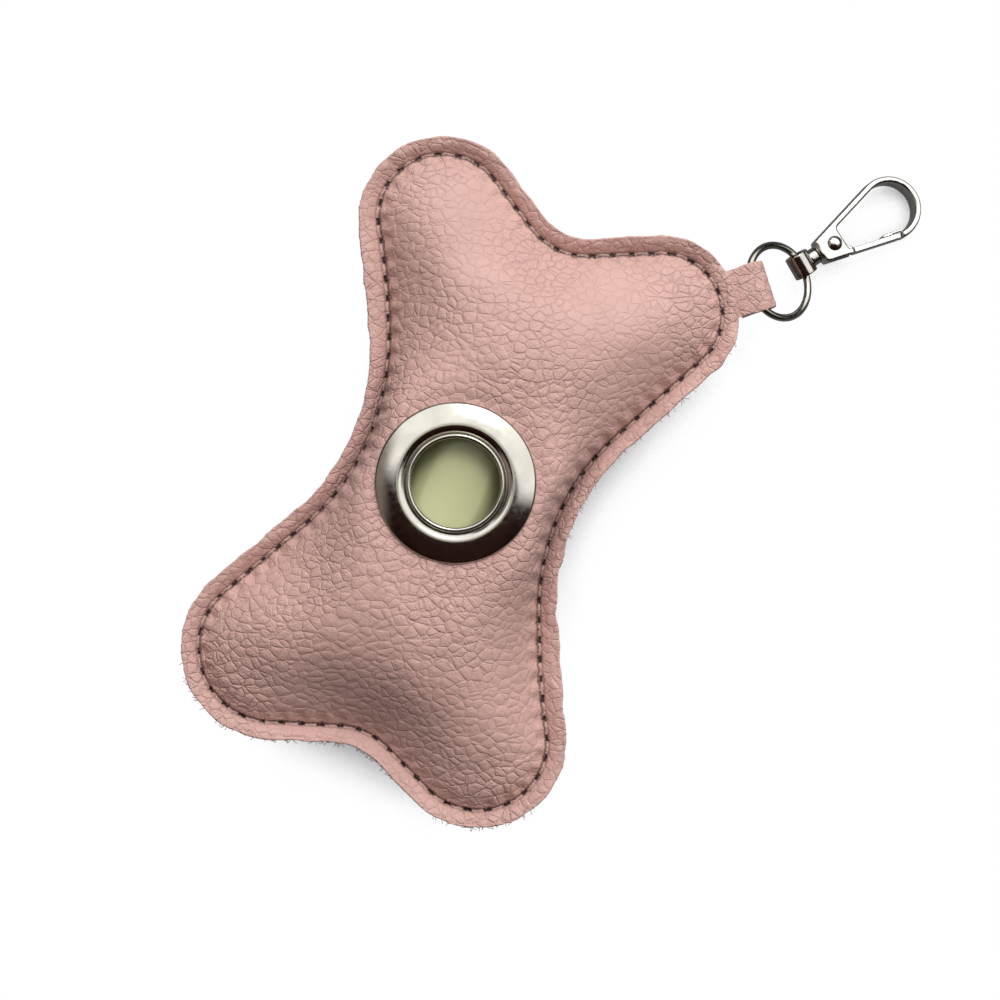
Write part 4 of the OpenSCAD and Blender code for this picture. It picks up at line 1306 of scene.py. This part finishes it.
def seam_places():
    """Centre, direction and outward side of each stitch around the edge, on both faces."""
    s = settings("leather")
    inset = mm(s.flange) - STITCH_GAP
    rows = outline(inset)
    _, counts = seam_sides(inset)
    rng = np.random.default_rng(5)
    places, ways, ups = [], [], []
    for face in (1, -1):
        for k in range(4):
            share = (np.arange(counts[k]) + 0.5) / counts[k]
            x, y, a = side_points(rows, k, share).T
            far = stray(x, y) * (1 - STITCH_GAP / mm(s.flange))
            x, y = x + far * np.cos(a), y + far * np.sin(a)
            skew = settings("seam").slant + rng.normal(0, 0.05, len(x))
            level = SEAM_Z + face * (mm(s.thickness) - 0.05) + rng.normal(0, 0.03, len(x))
            places.append(np.stack([x, y, level], -1))
            ways.append(np.stack([-np.sin(a + skew), np.cos(a + skew), np.zeros(len(x))], -1))
            ups.append(np.tile((0, 0, face), (len(x), 1)))
    return np.concatenate(places), np.concatenate(ways), np.concatenate(ups)


def fibre_places():
    """Places of the backing's loose fibres, along the half of the cut edge that has frayed."""
    rows = outline(0.15)
    flange = mm(settings("leather").flange)
    rng = np.random.default_rng(11)
    places, ways = [], []
    for k in range(4):
        x, y, a = side_points(rows, k, np.sort(rng.random(170))).T
        tufts = 0.45 + 0.5 * soft_noise(x, y, 9, 41)
        keep = (np.cos(a - FRAYED) > 0.15) & (rng.random(len(x)) < tufts)
        lean = a + rng.normal(0, 0.75, len(x))
        out = rng.uniform(0.0, 0.5, len(x))
        level = SEAM_Z + edge_sway(x, y, flange) + rng.uniform(-0.5, 0.5, len(x))
        tilt = rng.normal(0, 0.3, len(x))
        places.append(np.stack([x + out * np.cos(a), y + out * np.sin(a), level], -1)[keep])
        ways.append(np.stack([np.cos(lean), np.sin(lean), tilt], -1)[keep])
    places = np.concatenate(places)
    return places, np.concatenate(ways), np.tile((0, 0, 1), (len(places), 1))


def zip_stitch_places():
    """Stitches of the rectangle that holds the zip's tapes."""
    pitch = mm(settings("seam").zip_pitch)
    x = SLOT_HALF + 1.6
    z = TAPE_Z - mm(settings("leather").thickness) + 0.05
    rows, ends = round(2 * SLOT_END / pitch), round(2 * x / pitch)
    long_way = -SLOT_END + (np.arange(rows) + 0.5) * 2 * SLOT_END / rows
    short_way = -x + (np.arange(ends) + 0.5) * 2 * x / ends
    places, ways = [], []
    for side in (-1, 1):
        places += [(side * x, y, z) for y in long_way]
        ways += [(0, 1, 0)] * rows
        places += [(t, side * (SLOT_END + 1.2), z) for t in short_way]
        ways += [(1, 0, 0)] * ends
    return places, ways, [(0, 0, -1)] * len(places)


# ---------------------------------------------------------------- operators


class StageOperator(bpy.types.Operator):
    """Camera, lamps, even light and the pale floor"""

    bl_idname = "bone_pouch.stage"
    bl_label = "Stage"

    def execute(self, context):
        s = settings("stage")
        scene = context.scene
        camera = bpy.data.cameras.new("camera")
        camera.lens = camera.sensor_width / 2 * s.height / (s.view_width / 2)
        camera.clip_start, camera.clip_end = 0.01, 10
        seat = linked("camera", camera)
        seat.location = (*s.place, s.height)
        seat.rotation_euler = (0, 0, s.turn)
        scene.camera = seat
        scene.view_settings.view_transform = "Standard"
        right = Vector((math.cos(s.turn), math.sin(s.turn), 0))
        up = Vector((-math.sin(s.turn), math.cos(s.turn), 0))
        self.lamp("key", s.key, 0.4, 0.2 * right + 0.58 * up + Vector((0, 0, 0.77)))
        self.world(scene, right, up)
        self.floor(up)
        return {"FINISHED"}

    def lamp(self, name, power, size, place):
        lamp = bpy.data.lights.new(name, "AREA")
        lamp.energy, lamp.size, lamp.shape = power, size, "DISK"
        seat = linked(name, lamp)
        seat.location = place
        seat.rotation_euler = (-place).to_track_quat("-Z", "Y").to_euler()

    def world(self, scene, right, up):
        """Even light, and the room that polished metal sees: a bright half above the picture, a
        dark half below it, and a dark band around the horizon."""
        s = settings("stage")
        world = bpy.data.worlds.new("studio")
        scene.world = world
        tree = emptied(world)
        way = add(tree, "ShaderNodeTexCoord").outputs["Generated"]
        # What polished metal sees: where each screen is (to the right, up the picture, above the
        # table), the cosine of its half width, its softness and its colour
        screens = [
            (-0.2, -1, 0.05, 0.05, 0.09, "#1B0C0A"), (-1, 0.12, 0.5, 0.83, 0.06, "#7D736D"),
            (-1, 0.45, 0.12, 0.90, 0.035, "#1F2B2B"), (-0.5, 0.85, 0.5, 0.985, 0.008, "#36433F"),
            (1, -0.22, 0.5, 0.95, 0.04, "#7F8672"), (1, -0.6, 0.35, 0.93, 0.04, "#141816"),
            (0, -0.3, 1, 0.92, 0.02, "#261613"), (0, 0.05, 1, 0.986, 0.008, "#B9BBB0"),
        ]
        room = (1.0, 1.0, 1.0)
        for x, y, z, reach, soft, tone in screens:
            middle = x * right + y * up + Vector((0, 0, z))
            near = add(tree, "ShaderNodeVectorMath", {0: way, 1: middle.normalized()},
                       operation="DOT_PRODUCT")
            share = add(tree, "ShaderNodeMapRange",
                        {"Value": near.outputs["Value"], "From Min": reach - soft,
                         "From Max": reach + soft}, interpolation_type="SMOOTHSTEP")
            room = add(tree, "ShaderNodeMix",
                       {SHARE: share.outputs[0], FIRST: room, SECOND: linear(tone)},
                       data_type="RGBA").outputs[MIXED]
        parts = add(tree, "ShaderNodeSeparateXYZ", {0: way})
        low = add(tree, "ShaderNodeMapRange",
                  {"Value": parts.outputs["Z"], "From Min": 0.24, "From Max": 0.46, "To Min": 1.0,
                   "To Max": 0.0}, interpolation_type="SMOOTHSTEP")
        room = add(tree, "ShaderNodeMix",
                   {SHARE: low.outputs[0], FIRST: room, SECOND: linear("#171413")},
                   data_type="RGBA").outputs[MIXED]
        # Soft light on matt surfaces: where each lit sheet is, in the same way, and its strength
        sheets = [(0.15, 1, 0.9, 2.3), (1, 1, 1.4, 0.6), (0, 1, 0.25, 0.8), (1, 0, 0.25, 0.6),
                  (0, 0, 1, 0.2)]
        light = tuple(c * s.fill for c in linear("#FFC8C0"))
        for x, y, z, strength in sheets:
            middle = x * right + y * up + Vector((0, 0, z))
            near = add(tree, "ShaderNodeVectorMath", {0: way, 1: middle.normalized()},
                       operation="DOT_PRODUCT")
            facing = add(tree, "ShaderNodeMath", {0: near.outputs["Value"], 1: 0.0},
                         operation="MAXIMUM")
            lobe = add(tree, "ShaderNodeMath", {0: facing.outputs[0], 1: 6.0}, operation="POWER")
            lit = add(tree, "ShaderNodeMath", {0: lobe.outputs[0], 1: strength * s.sheets},
                      operation="MULTIPLY").outputs[0]
            grey = add(tree, "ShaderNodeCombineXYZ", {"X": lit, "Y": lit, "Z": lit})
            light = add(tree, "ShaderNodeMix", {SHARE: 1.0, FIRST: light, SECOND: grey.outputs[0]},
                        data_type="RGBA", blend_type="ADD").outputs[MIXED]
        plain, gleam, white = (
            add(tree, "ShaderNodeBackground", {"Color": colour, "Strength": strength}).outputs[0]
            for colour, strength in ((light, 1.0), (room, s.room), ((1.0, 1.0, 1.0), 1.0)))
        rays = add(tree, "ShaderNodeLightPath")
        seen = add(tree, "ShaderNodeMixShader",
                   {0: rays.outputs["Is Glossy Ray"], 1: plain, 2: gleam})
        clear = add(tree, "ShaderNodeMath",
                    {0: rays.outputs["Is Camera Ray"], 1: rays.outputs["Is Transmission Ray"]},
                    operation="MAXIMUM")
        whole = add(tree, "ShaderNodeMixShader",
                    {0: clear.outputs[0], 1: seen.outputs[0], 2: white})
        add(tree, "ShaderNodeOutputWorld", {0: whole.outputs[0]})

    def floor(self, up):
        """A pale floor that keeps the shadow, and that is open from below."""
        material = bpy.data.materials.new("pale_floor")
        tree = emptied(material)
        # Shade where the pouch hides the sky, which is looked for on the lamps' side
        lean = (up + Vector((0, 0, 1.7))).normalized()
        lean = add(tree, "ShaderNodeCombineXYZ", dict(zip("XYZ", lean)))
        open_sky = add(tree, "ShaderNodeAmbientOcclusion",
                       {"Distance": 0.034, "Normal": lean.outputs[0]}, samples=16)
        share = add(tree, "ShaderNodeMapRange",
                    {"Value": open_sky.outputs["AO"], "From Min": 0.24, "From Max": 0.55},
                    interpolation_type="SMOOTHSTEP")
        tone = add(tree, "ShaderNodeMix",
                   {SHARE: share.outputs["Result"], FIRST: linear("#5F5960"),
                    SECOND: (1.0, 1.0, 1.0)}, data_type="RGBA")
        # Polished metal sees the table as a dim one, so that its edges stand out
        gleam = add(tree, "ShaderNodeLightPath")
        level = add(tree, "ShaderNodeMapRange",
                    {"Value": gleam.outputs["Is Glossy Ray"], "To Min": 1.0, "To Max": 0.16})
        pale = add(tree, "ShaderNodeEmission",
                   {"Color": tone.outputs[MIXED], "Strength": level.outputs["Result"]})
        clear = add(tree, "ShaderNodeBsdfTransparent")
        side = add(tree, "ShaderNodeNewGeometry")
        whole = add(tree, "ShaderNodeMixShader",
                    {0: side.outputs["Backfacing"], 1: pale.outputs[0], 2: clear.outputs[0]})
        add(tree, "ShaderNodeOutputMaterial", {0: whole.outputs[0]})
        half, level = 3000.0, TABLE_Z - 0.02
        corners = [(x * half, y * half, level) for x, y in ((-1, -1), (1, -1), (1, 1), (-1, 1))]
        floor = mesh_piece("floor", corners, [(0, 1, 2, 3)], [material])
        floor.visible_shadow = False
        floor.visible_diffuse = False


class LeatherOperator(bpy.types.Operator):
    """Front and back leather panels"""

    bl_idname = "bone_pouch.leather"
    bl_label = "Leather"

    def execute(self, context):
        for name, face, node in (("front_leather", 1, "front_panel"),
                                 ("back_leather", -1, "back_panel")):
            piece = panel(name, face, [leather(), backing()])
            settle(piece, "pouch", [node])
        return {"FINISHED"}


class SeamOperator(bpy.types.Operator):
    """Thread around the edge and beside the zip, and loose fibres of the cut edge"""

    bl_idname = "bone_pouch.seams"
    bl_label = "Seams"

    def execute(self, context):
        s = settings("seam")
        lay_stitches("edge_stitches", *seam_places(), s.length, ["seam_stitching"])
        lay_stitches("zip_stitches", *zip_stitch_places(), 0.6 * s.zip_pitch, ["zip_stitching"])
        lay_stitches("backing_fibres", *fibre_places(), length=0.0014, replaced=[], ply=0.00009,
                     dive=0.0002, material=backing())
        return {"FINISHED"}


class EyeletOperator(bpy.types.Operator):
    """Domed eyelet with its rolled lip, and the washer behind"""

    bl_idname = "bone_pouch.eyelet"
    bl_label = "Eyelet"

    def execute(self, context):
        outer = EYELET_HIGH[0]
        hole, barrel = 9.1, 9.6
        curl, curl_level = 0.5, 0.85
        inner = barrel + curl
        low = EYELET_LOW[2]
        foot = barrel + 1.6
        t = np.linspace(0, 1, 64) ** 1.5
        dome = [(outer - (outer - inner) * a, dome_height(a)) for a in t]
        lip = [(barrel + curl * math.cos(a), curl_level + curl * math.sin(a))
               for a in np.linspace(0, math.pi, 15)]
        tail = [(hole, 0.3), (hole, low + 0.4), (hole + 0.15, low + 0.1), (barrel, low),
                (foot - 0.1, low), (foot, low + 0.1), (foot, low + 0.4), (foot - 0.1, low + 0.5),
                (barrel + 0.1, low + 0.5), (barrel, low + 0.6), (barrel, -0.1), (barrel + 0.1, 0),
                (outer - 0.1, 0)]
        piece = lathe("eyelet_flange", [*dome, *lip, *tail][::-1], dark_nickel(), 256)
        piece.data.set_sharp_from_angle(angle=math.radians(50))
        settle(piece, "pouch", ["eyelet"])
        dress(frame["nodes"]["eyelet_washer"], dark_nickel())
        return {"FINISHED"}


def dome_height(t):
    """Height of the eyelet's dome from its outer edge at 0 to its inner edge at 1."""
    peak = 0.72
    rise = 1 - (1 - np.clip(t / peak, 0, 1)) ** 1.5
    drop = np.clip((t - peak) / (1 - peak), 0, 1) ** 2
    rim = np.sqrt(1 - (1 - np.clip(t / 0.07, 0, 1)) ** 2)
    return 0.02 + 0.43 * rim + 1.05 * rise - 0.95 * drop


class RollOperator(bpy.types.Operator):
    """Wound roll of bags on its card core"""

    bl_idname = "bone_pouch.roll"
    bl_label = "Bag roll"

    def execute(self, context):
        s = settings("roll")
        radius = (ROLL_HIGH[2] - ROLL_LOW[2]) / 2
        core_low, core_high = box_mm("roll_core")
        core = (core_high[2] - core_low[2]) / 2
        half = (ROLL_HIGH[1] - ROLL_LOW[1]) / 2
        steps, corner = 144, 0.5
        angles = np.linspace(0, 2 * math.pi, steps, endpoint=False)
        # At each end every other turn stands back a little, out to a rounded corner
        ends = np.linspace(core + 0.05, radius - corner, 22)
        rounding = [(radius - corner + corner * math.sin(a), half - corner + corner * math.cos(a))
                    for a in np.linspace(0, math.pi / 2, 5)]
        profile = [(r, half - 0.25 - 0.12 * (i % 2)) for i, r in enumerate(ends[:-1])] + rounding
        middle = [(radius, y) for y in np.linspace(half - 1.5, -half + 1.5, 70)]
        profile = profile + middle + [(r, -y) for r, y in profile[::-1]]
        r, y = np.array(profile).T
        rr = np.repeat(r[:, None], steps, 1)
        share = smooth(rr, core + 2, radius)
        overlap = 0.21 * (1 - angles / (2 * math.pi))
        bow = 0.05 * y[:, None] + 1.5 * np.sin(0.11 * y[:, None])
        folds = 0.10 * np.sin(s.folds * angles[None] + bow)
        rr = rr - share * (0.15 + overlap[None] + folds)
        # The overlap's step lies at the back, out of sight
        turned = angles + math.radians(200)
        high = rr * np.cos(turned)
        # The loose outer bag lies flatter against the front leather, under the eyelet
        flat = radius - 1.9
        high = np.where(high > flat, flat + (high - flat) * 0.45, high)
        points = [rr * np.sin(turned), np.repeat(y[:, None], steps, 1), SEAM_Z + high]
        faces = grid_faces(len(r) + 1, steps, close=True) % (len(r) * steps)
        piece = mesh_piece("wound_bags", np.stack(points, -1).reshape(-1, 3), faces,
                           [shared("bag_film", bag_film)])
        settle(piece, "roll", ["bag_roll"])
        dress(frame["nodes"]["roll_core"], shared("kraft_card", kraft_card))
        return {"FINISHED"}


class ZipOperator(bpy.types.Operator):
    """Zip in the back: tapes, teeth, stops, slider and pull"""

    bl_idname = "bone_pouch.zip"
    bl_label = "Zip"

    def execute(self, context):
        for side, name in ((-1, "left"), (1, "right")):
            self.tape(side, name)
            self.teeth(side, name)
        s = settings("metal")
        for node, name, body in (
                ("zip_top_stops", "top_stops", "pouch"),
                ("zip_bottom_stop", "bottom_stop", "pouch"),
                ("zip_slider", "slider_casting", "slider"), ("zip_pull", "pull_tag", "pull")):
            finished_copy(node, name, bright_nickel(), s.bevel * 0.7, body)
        return {"FINISHED"}

    def tape(self, side, name):
        low, high = box_mm("zip_tape_" + name)
        middle = low[2] + (high[2] - low[2]) / 2
        half = (high[2] - low[2]) / 2
        edge = low[0] if side > 0 else high[0]
        width = high[0] - low[0]
        # Section: a corded edge beside the teeth, then the flat tape
        section = [(0.15, -half * 0.8), (0.0, 0.0), (0.15, half * 0.8), (0.5, half)]
        section += [(t, half) for t in np.linspace(1.2, width - 0.1, 12)]
        section += [(width, 0.0)]
        section += [(t, -half) for t in np.linspace(width - 0.1, 1.2, 12)] + [(0.5, -half)]
        across, up = np.array(section).T
        y = np.linspace(low[1], high[1], 90)
        points = np.stack([np.repeat((edge + side * across)[None], len(y), 0),
                           np.repeat(y[:, None], len(across), 1),
                           np.repeat((middle + up)[None], len(y), 0)], -1)
        n = len(across)
        faces = grid_faces(len(y), n, close=True)
        faces = [tuple(f) for f in (faces if side > 0 else faces[:, ::-1])]
        caps = [tuple(range(n))[::-1], tuple(range(n * (len(y) - 1), n * len(y)))]
        faces += caps if side > 0 else [c[::-1] for c in caps]
        piece = mesh_piece("tape_" + name, points.reshape(-1, 3), faces,
                           [shared("tape_weave", tape_weave)])
        settle(piece, "pouch", ["zip_tape_" + name])

    def teeth(self, side, name):
        """One moulded tooth, repeated along the tape by geometry nodes."""
        low, high = box_mm("zip_teeth_" + name)
        s = settings("zip")
        pitch = mm(s.pitch)
        count = int(mm(s.chain) // pitch)
        span = pitch / 2 - 0.4
        tooth = self.one_tooth(high[0] - low[0], span, high[2] - low[2])
        tree, source, sockets = node_tree("Zip teeth", Tooth="Object", Count="Int", Pitch="Float",
                                          Start="Vector", Turn="Float", Material="Material")
        step = add(tree, "ShaderNodeCombineXYZ", {"Y": source["Pitch"]})
        line = add(tree, "GeometryNodeMeshLine",
                   {"Count": source["Count"], "Start Location": source["Start"],
                    "Offset": step.outputs[0]}, mode="OFFSET")
        form = add(tree, "GeometryNodeObjectInfo", {"Object": source["Tooth"]})
        turn = add(tree, "ShaderNodeCombineXYZ", {"Z": source["Turn"]})
        rotation = add(tree, "FunctionNodeEulerToRotation", {0: turn.outputs[0]})
        laid = add(tree, "GeometryNodeInstanceOnPoints",
                   {"Points": line.outputs[0], "Instance": form.outputs["Geometry"],
                    "Rotation": rotation.outputs[0]})
        real = add(tree, "GeometryNodeRealizeInstances", {"Geometry": laid.outputs[0]})
        done = add(tree, "GeometryNodeSetMaterial",
                   {"Geometry": real.outputs[0], "Material": source["Material"]})
        add(tree, "NodeGroupOutput", {0: done.outputs[0]})
        piece = mesh_piece("teeth_" + name, [], [], [])
        start = Vector(((low[0] + high[0]) / 2, low[1] + span / 2, (low[2] + high[2]) / 2)) * MM
        grow(piece, tree, sockets, Tooth=tooth, Count=count, Pitch=pitch * MM, Start=start,
             Turn=0.0 if side > 0 else math.pi, Material=shared("moulded_nylon", moulded_nylon))
        bpy.data.objects.remove(tooth)
        settle(piece, "pouch", ["zip_teeth_" + name])

    def one_tooth(self, long, thick, high):
        """A tooth about its middle: a waisted block with a rounded head towards -X."""
        edit = bmesh.new()
        half = long / 2
        section = [(half, 0.42), (half - 0.9, 0.5), (half - 1.5, 0.36), (-half + 0.8, 0.34),
                   (-half + 0.35, 0.5), (-half, 0.3)]
        ring = [(x, w * thick) for x, w in section] + [(x, -w * thick) for x, w in section[::-1]]
        low, top = ([edit.verts.new((x * MM, y * MM, z * MM)) for x, y in ring]
                    for z in (-high / 2, high / 2))
        edit.faces.new(low)
        edit.faces.new(top[::-1])
        for i in range(len(ring)):
            j = (i + 1) % len(ring)
            edit.faces.new((low[j], low[i], top[i], top[j]))
        bmesh.ops.bevel(edit, geom=[e for e in edit.edges if e.calc_face_angle(0) > 0.9],
                        offset=0.12 * MM, segments=2, affect="EDGES", profile=0.5)
        bmesh.ops.recalc_face_normals(edit, faces=edit.faces)
        mesh = bpy.data.meshes.new("tooth")
        edit.to_mesh(mesh)
        edit.free()
        mesh.shade_smooth()
        mesh.set_sharp_from_angle(angle=math.radians(40))
        return linked("tooth", mesh)


class HangerOperator(bpy.types.Operator):
    """Leather loop and the ring it holds"""

    bl_idname = "bone_pouch.hanger"
    bl_label = "Hanger"

    def execute(self, context):
        self.loop()
        self.ring()
        return {"FINISHED"}

    def loop(self):
        """A strip folded around the ring, its ends sewn between the flanges."""
        bar = joint_place("ring_swing")
        edge = HANGER_EDGE
        out = float(np.hypot(*(bar[:2] - edge)))
        drop = SEAM_Z - bar[2]
        thick, radius, wide = 1.0, 3.35, 10.2
        # Middle line of the strip, out from the seam, over the bar and back under
        start = np.array([(-4.4, 0.27), (-2.5, 0.27), (-1.0, 0.27), (0.2, 0.3), (1.8, 0.33)])
        sweep = np.radians(np.linspace(90, -172, 44))
        turn = np.stack([out + radius * np.cos(sweep), -drop + radius * np.sin(sweep)], -1)
        end = np.array([(0.55, -2.6), (0.3, -1.7)])
        path = resampled(np.concatenate([start, turn, end]), 110)
        along = np.gradient(path, axis=0)
        along /= np.linalg.norm(along, axis=1, keepdims=True)
        away = np.stack([-along[:, 1], along[:, 0]], -1)
        run = run_along(path)
        skive = 0.45 + 0.55 * smooth(run, 3.6, 5.6)
        cross = np.linspace(-1, 1, 31)
        width = wide / 2 * (1 + 0.02 * np.sin(run * 0.9))
        y = width[:, None] * cross[None]
        px = run[:, None] + 0 * y
        folds = 0.10 * soft_noise(px * 0.25, y, 1.7, 31) + 0.05 * soft_noise(px, y, 1.1, 32)
        folds *= smooth(run, 5, 7)[:, None]
        edge_round = 0.22 * np.abs(cross) ** 14
        lift = thick * skive[:, None] / 2 * (1 - edge_round[None])
        points = []
        rows, columns = len(path), len(cross)
        for side in (1, -1):
            shift = side * lift + folds
            skin = [path[:, 0, None] + away[:, 0, None] * shift, y,
                    path[:, 1, None] + away[:, 1, None] * shift]
            points.append(np.stack(skin, -1).reshape(-1, 3))
        top = grid_faces(rows, columns)
        count = rows * columns
        rim = rim_order(columns - 1, rows - 1)
        follow = np.roll(rim, -1)
        sides = np.stack([follow, rim, rim + count, follow + count], -1)
        faces = [top, top[:, ::-1] + count, sides]
        picks = [np.zeros(len(top)), np.ones(len(top)), np.ones(len(rim))]
        points = np.concatenate(points)
        turned = np.stack([
            edge[0] + points[:, 0] * math.cos(HANGER_TURN) - points[:, 1] * math.sin(HANGER_TURN),
            edge[1] + points[:, 0] * math.sin(HANGER_TURN) + points[:, 1] * math.cos(HANGER_TURN),
            SEAM_Z + points[:, 2]], -1)
        piece = mesh_piece("hanger_loop", turned, np.concatenate(faces), [leather(), backing()],
                           np.concatenate(picks))
        face_outwards(piece)
        piece.data.set_sharp_from_angle(angle=math.radians(60))
        settle(piece, "pouch", ["hanger_tab"])

    def ring(self):
        low, high = box_mm("hanger_ring")
        middle = (low + high) / 2
        bar = joint_place("ring_swing")
        eye = joint_place("swivel_turn")
        first = bar - middle
        mean = np.linalg.norm(first)
        first /= mean
        normal = np.cross(first, eye - middle)
        normal /= np.linalg.norm(normal)
        second = np.cross(normal, first)
        wire = 0.8
        a = np.linspace(0, 2 * math.pi, 160, endpoint=False)
        b = np.linspace(0, 2 * math.pi, 24, endpoint=False)
        out = np.cos(a)[:, None] * first + np.sin(a)[:, None] * second
        points = middle + out[:, None] * (mean + wire * np.cos(b))[None, :, None] \
            + normal * (wire * np.sin(b))[None, :, None]
        faces = grid_faces(len(a) + 1, len(b), close=True) % (len(a) * len(b))
        piece = mesh_piece("ring_wire", points.reshape(-1, 3), faces, [dark_nickel()])
        face_outwards(piece)
        settle(piece, "ring", ["hanger_ring"])


def run_along(path):
    """Length along a path up to each of its points."""
    return np.concatenate([[0], np.cumsum(np.linalg.norm(np.diff(path, axis=0), axis=1))])


def resampled(path, count):
    """The path again, with its points evenly spaced."""
    run = run_along(path)
    even = np.linspace(0, run[-1], count)
    return np.stack([np.interp(even, run, path[:, i]) for i in range(path.shape[1])], -1)


class ClaspOperator(bpy.types.Operator):
    """Swivel, hook, gate, pin and spring of the clasp"""

    bl_idname = "bone_pouch.clasp"
    bl_label = "Clasp"

    def execute(self, context):
        dark, bright = (dark_nickel(), "dark_nickel"), (bright_nickel(), "bright_nickel")
        for node, name, (material, slot), body, bevel in (
                ("swivel_head", "swivel_rivet", dark, "swivel", settings("metal").bevel * 0.5),
                ("gate_pin", "gate_rivet", bright, "hook", 0),
                ("gate_spring", "gate_wire", bright, "hook", 0)):
            finished_copy(node, name, material, bevel, body)
        # Remeshed at about a tenth of a millimetre, then smoothed in passes
        for node, name, (material, slot), body, cell, passes in (
                ("hook_body", "hook_casting", bright, "hook", 0.00014, 90),
                ("gate", "gate_bar", bright, "gate", 0.0001, 40),
                ("swivel_eye", "swivel_barrel", dark, "swivel", 0.0001, 26)):
            casting(node, name, material, cell, passes, body)
        return {"FINISHED"}


OPERATORS = (StageOperator, LeatherOperator, SeamOperator, EyeletOperator, RollOperator,
             ZipOperator, HangerOperator, ClaspOperator)
GROUPS = {"leather": LeatherSettings, "seam": SeamSettings, "metal": MetalSettings,
          "roll": RollSettings, "zip": ZipSettings, "stage": StageSettings}


class PouchPanel(bpy.types.Panel):
    """Lists the pouch's pieces"""

    bl_idname = "VIEW3D_PT_bone_pouch"
    bl_label = "Bone pouch"
    bl_space_type = "VIEW_3D"
    bl_region_type = "UI"
    bl_category = "Bone pouch"

    def draw(self, context):
        for name, group in GROUPS.items():
            box = self.layout.box()
            box.label(text=name.capitalize())
            for key in group.__annotations__:
                box.prop(settings(name), key)
        for operator in OPERATORS:
            self.layout.operator(operator.bl_idname)


def register():
    """Adds the settings, operators and panel."""
    for name, group in GROUPS.items():
        bpy.utils.register_class(group)
        setattr(bpy.types.Scene, "bone_pouch_" + name, PointerProperty(type=group))
    for operator in OPERATORS:
        bpy.utils.register_class(operator)
    bpy.utils.register_class(PouchPanel)


def unregister():
    """Takes them away again."""
    bpy.utils.unregister_class(PouchPanel)
    for operator in reversed(OPERATORS):
        bpy.utils.unregister_class(operator)
    for name, group in GROUPS.items():
        delattr(bpy.types.Scene, "bone_pouch_" + name)
        bpy.utils.unregister_class(group)


def main():
    """Registers the add-on and makes every piece."""
    register()
    for operator in OPERATORS:
        _, name = operator.bl_idname.split(".")
        getattr(bpy.ops.bone_pouch, name)()


if __name__ == "__main__":
    main()
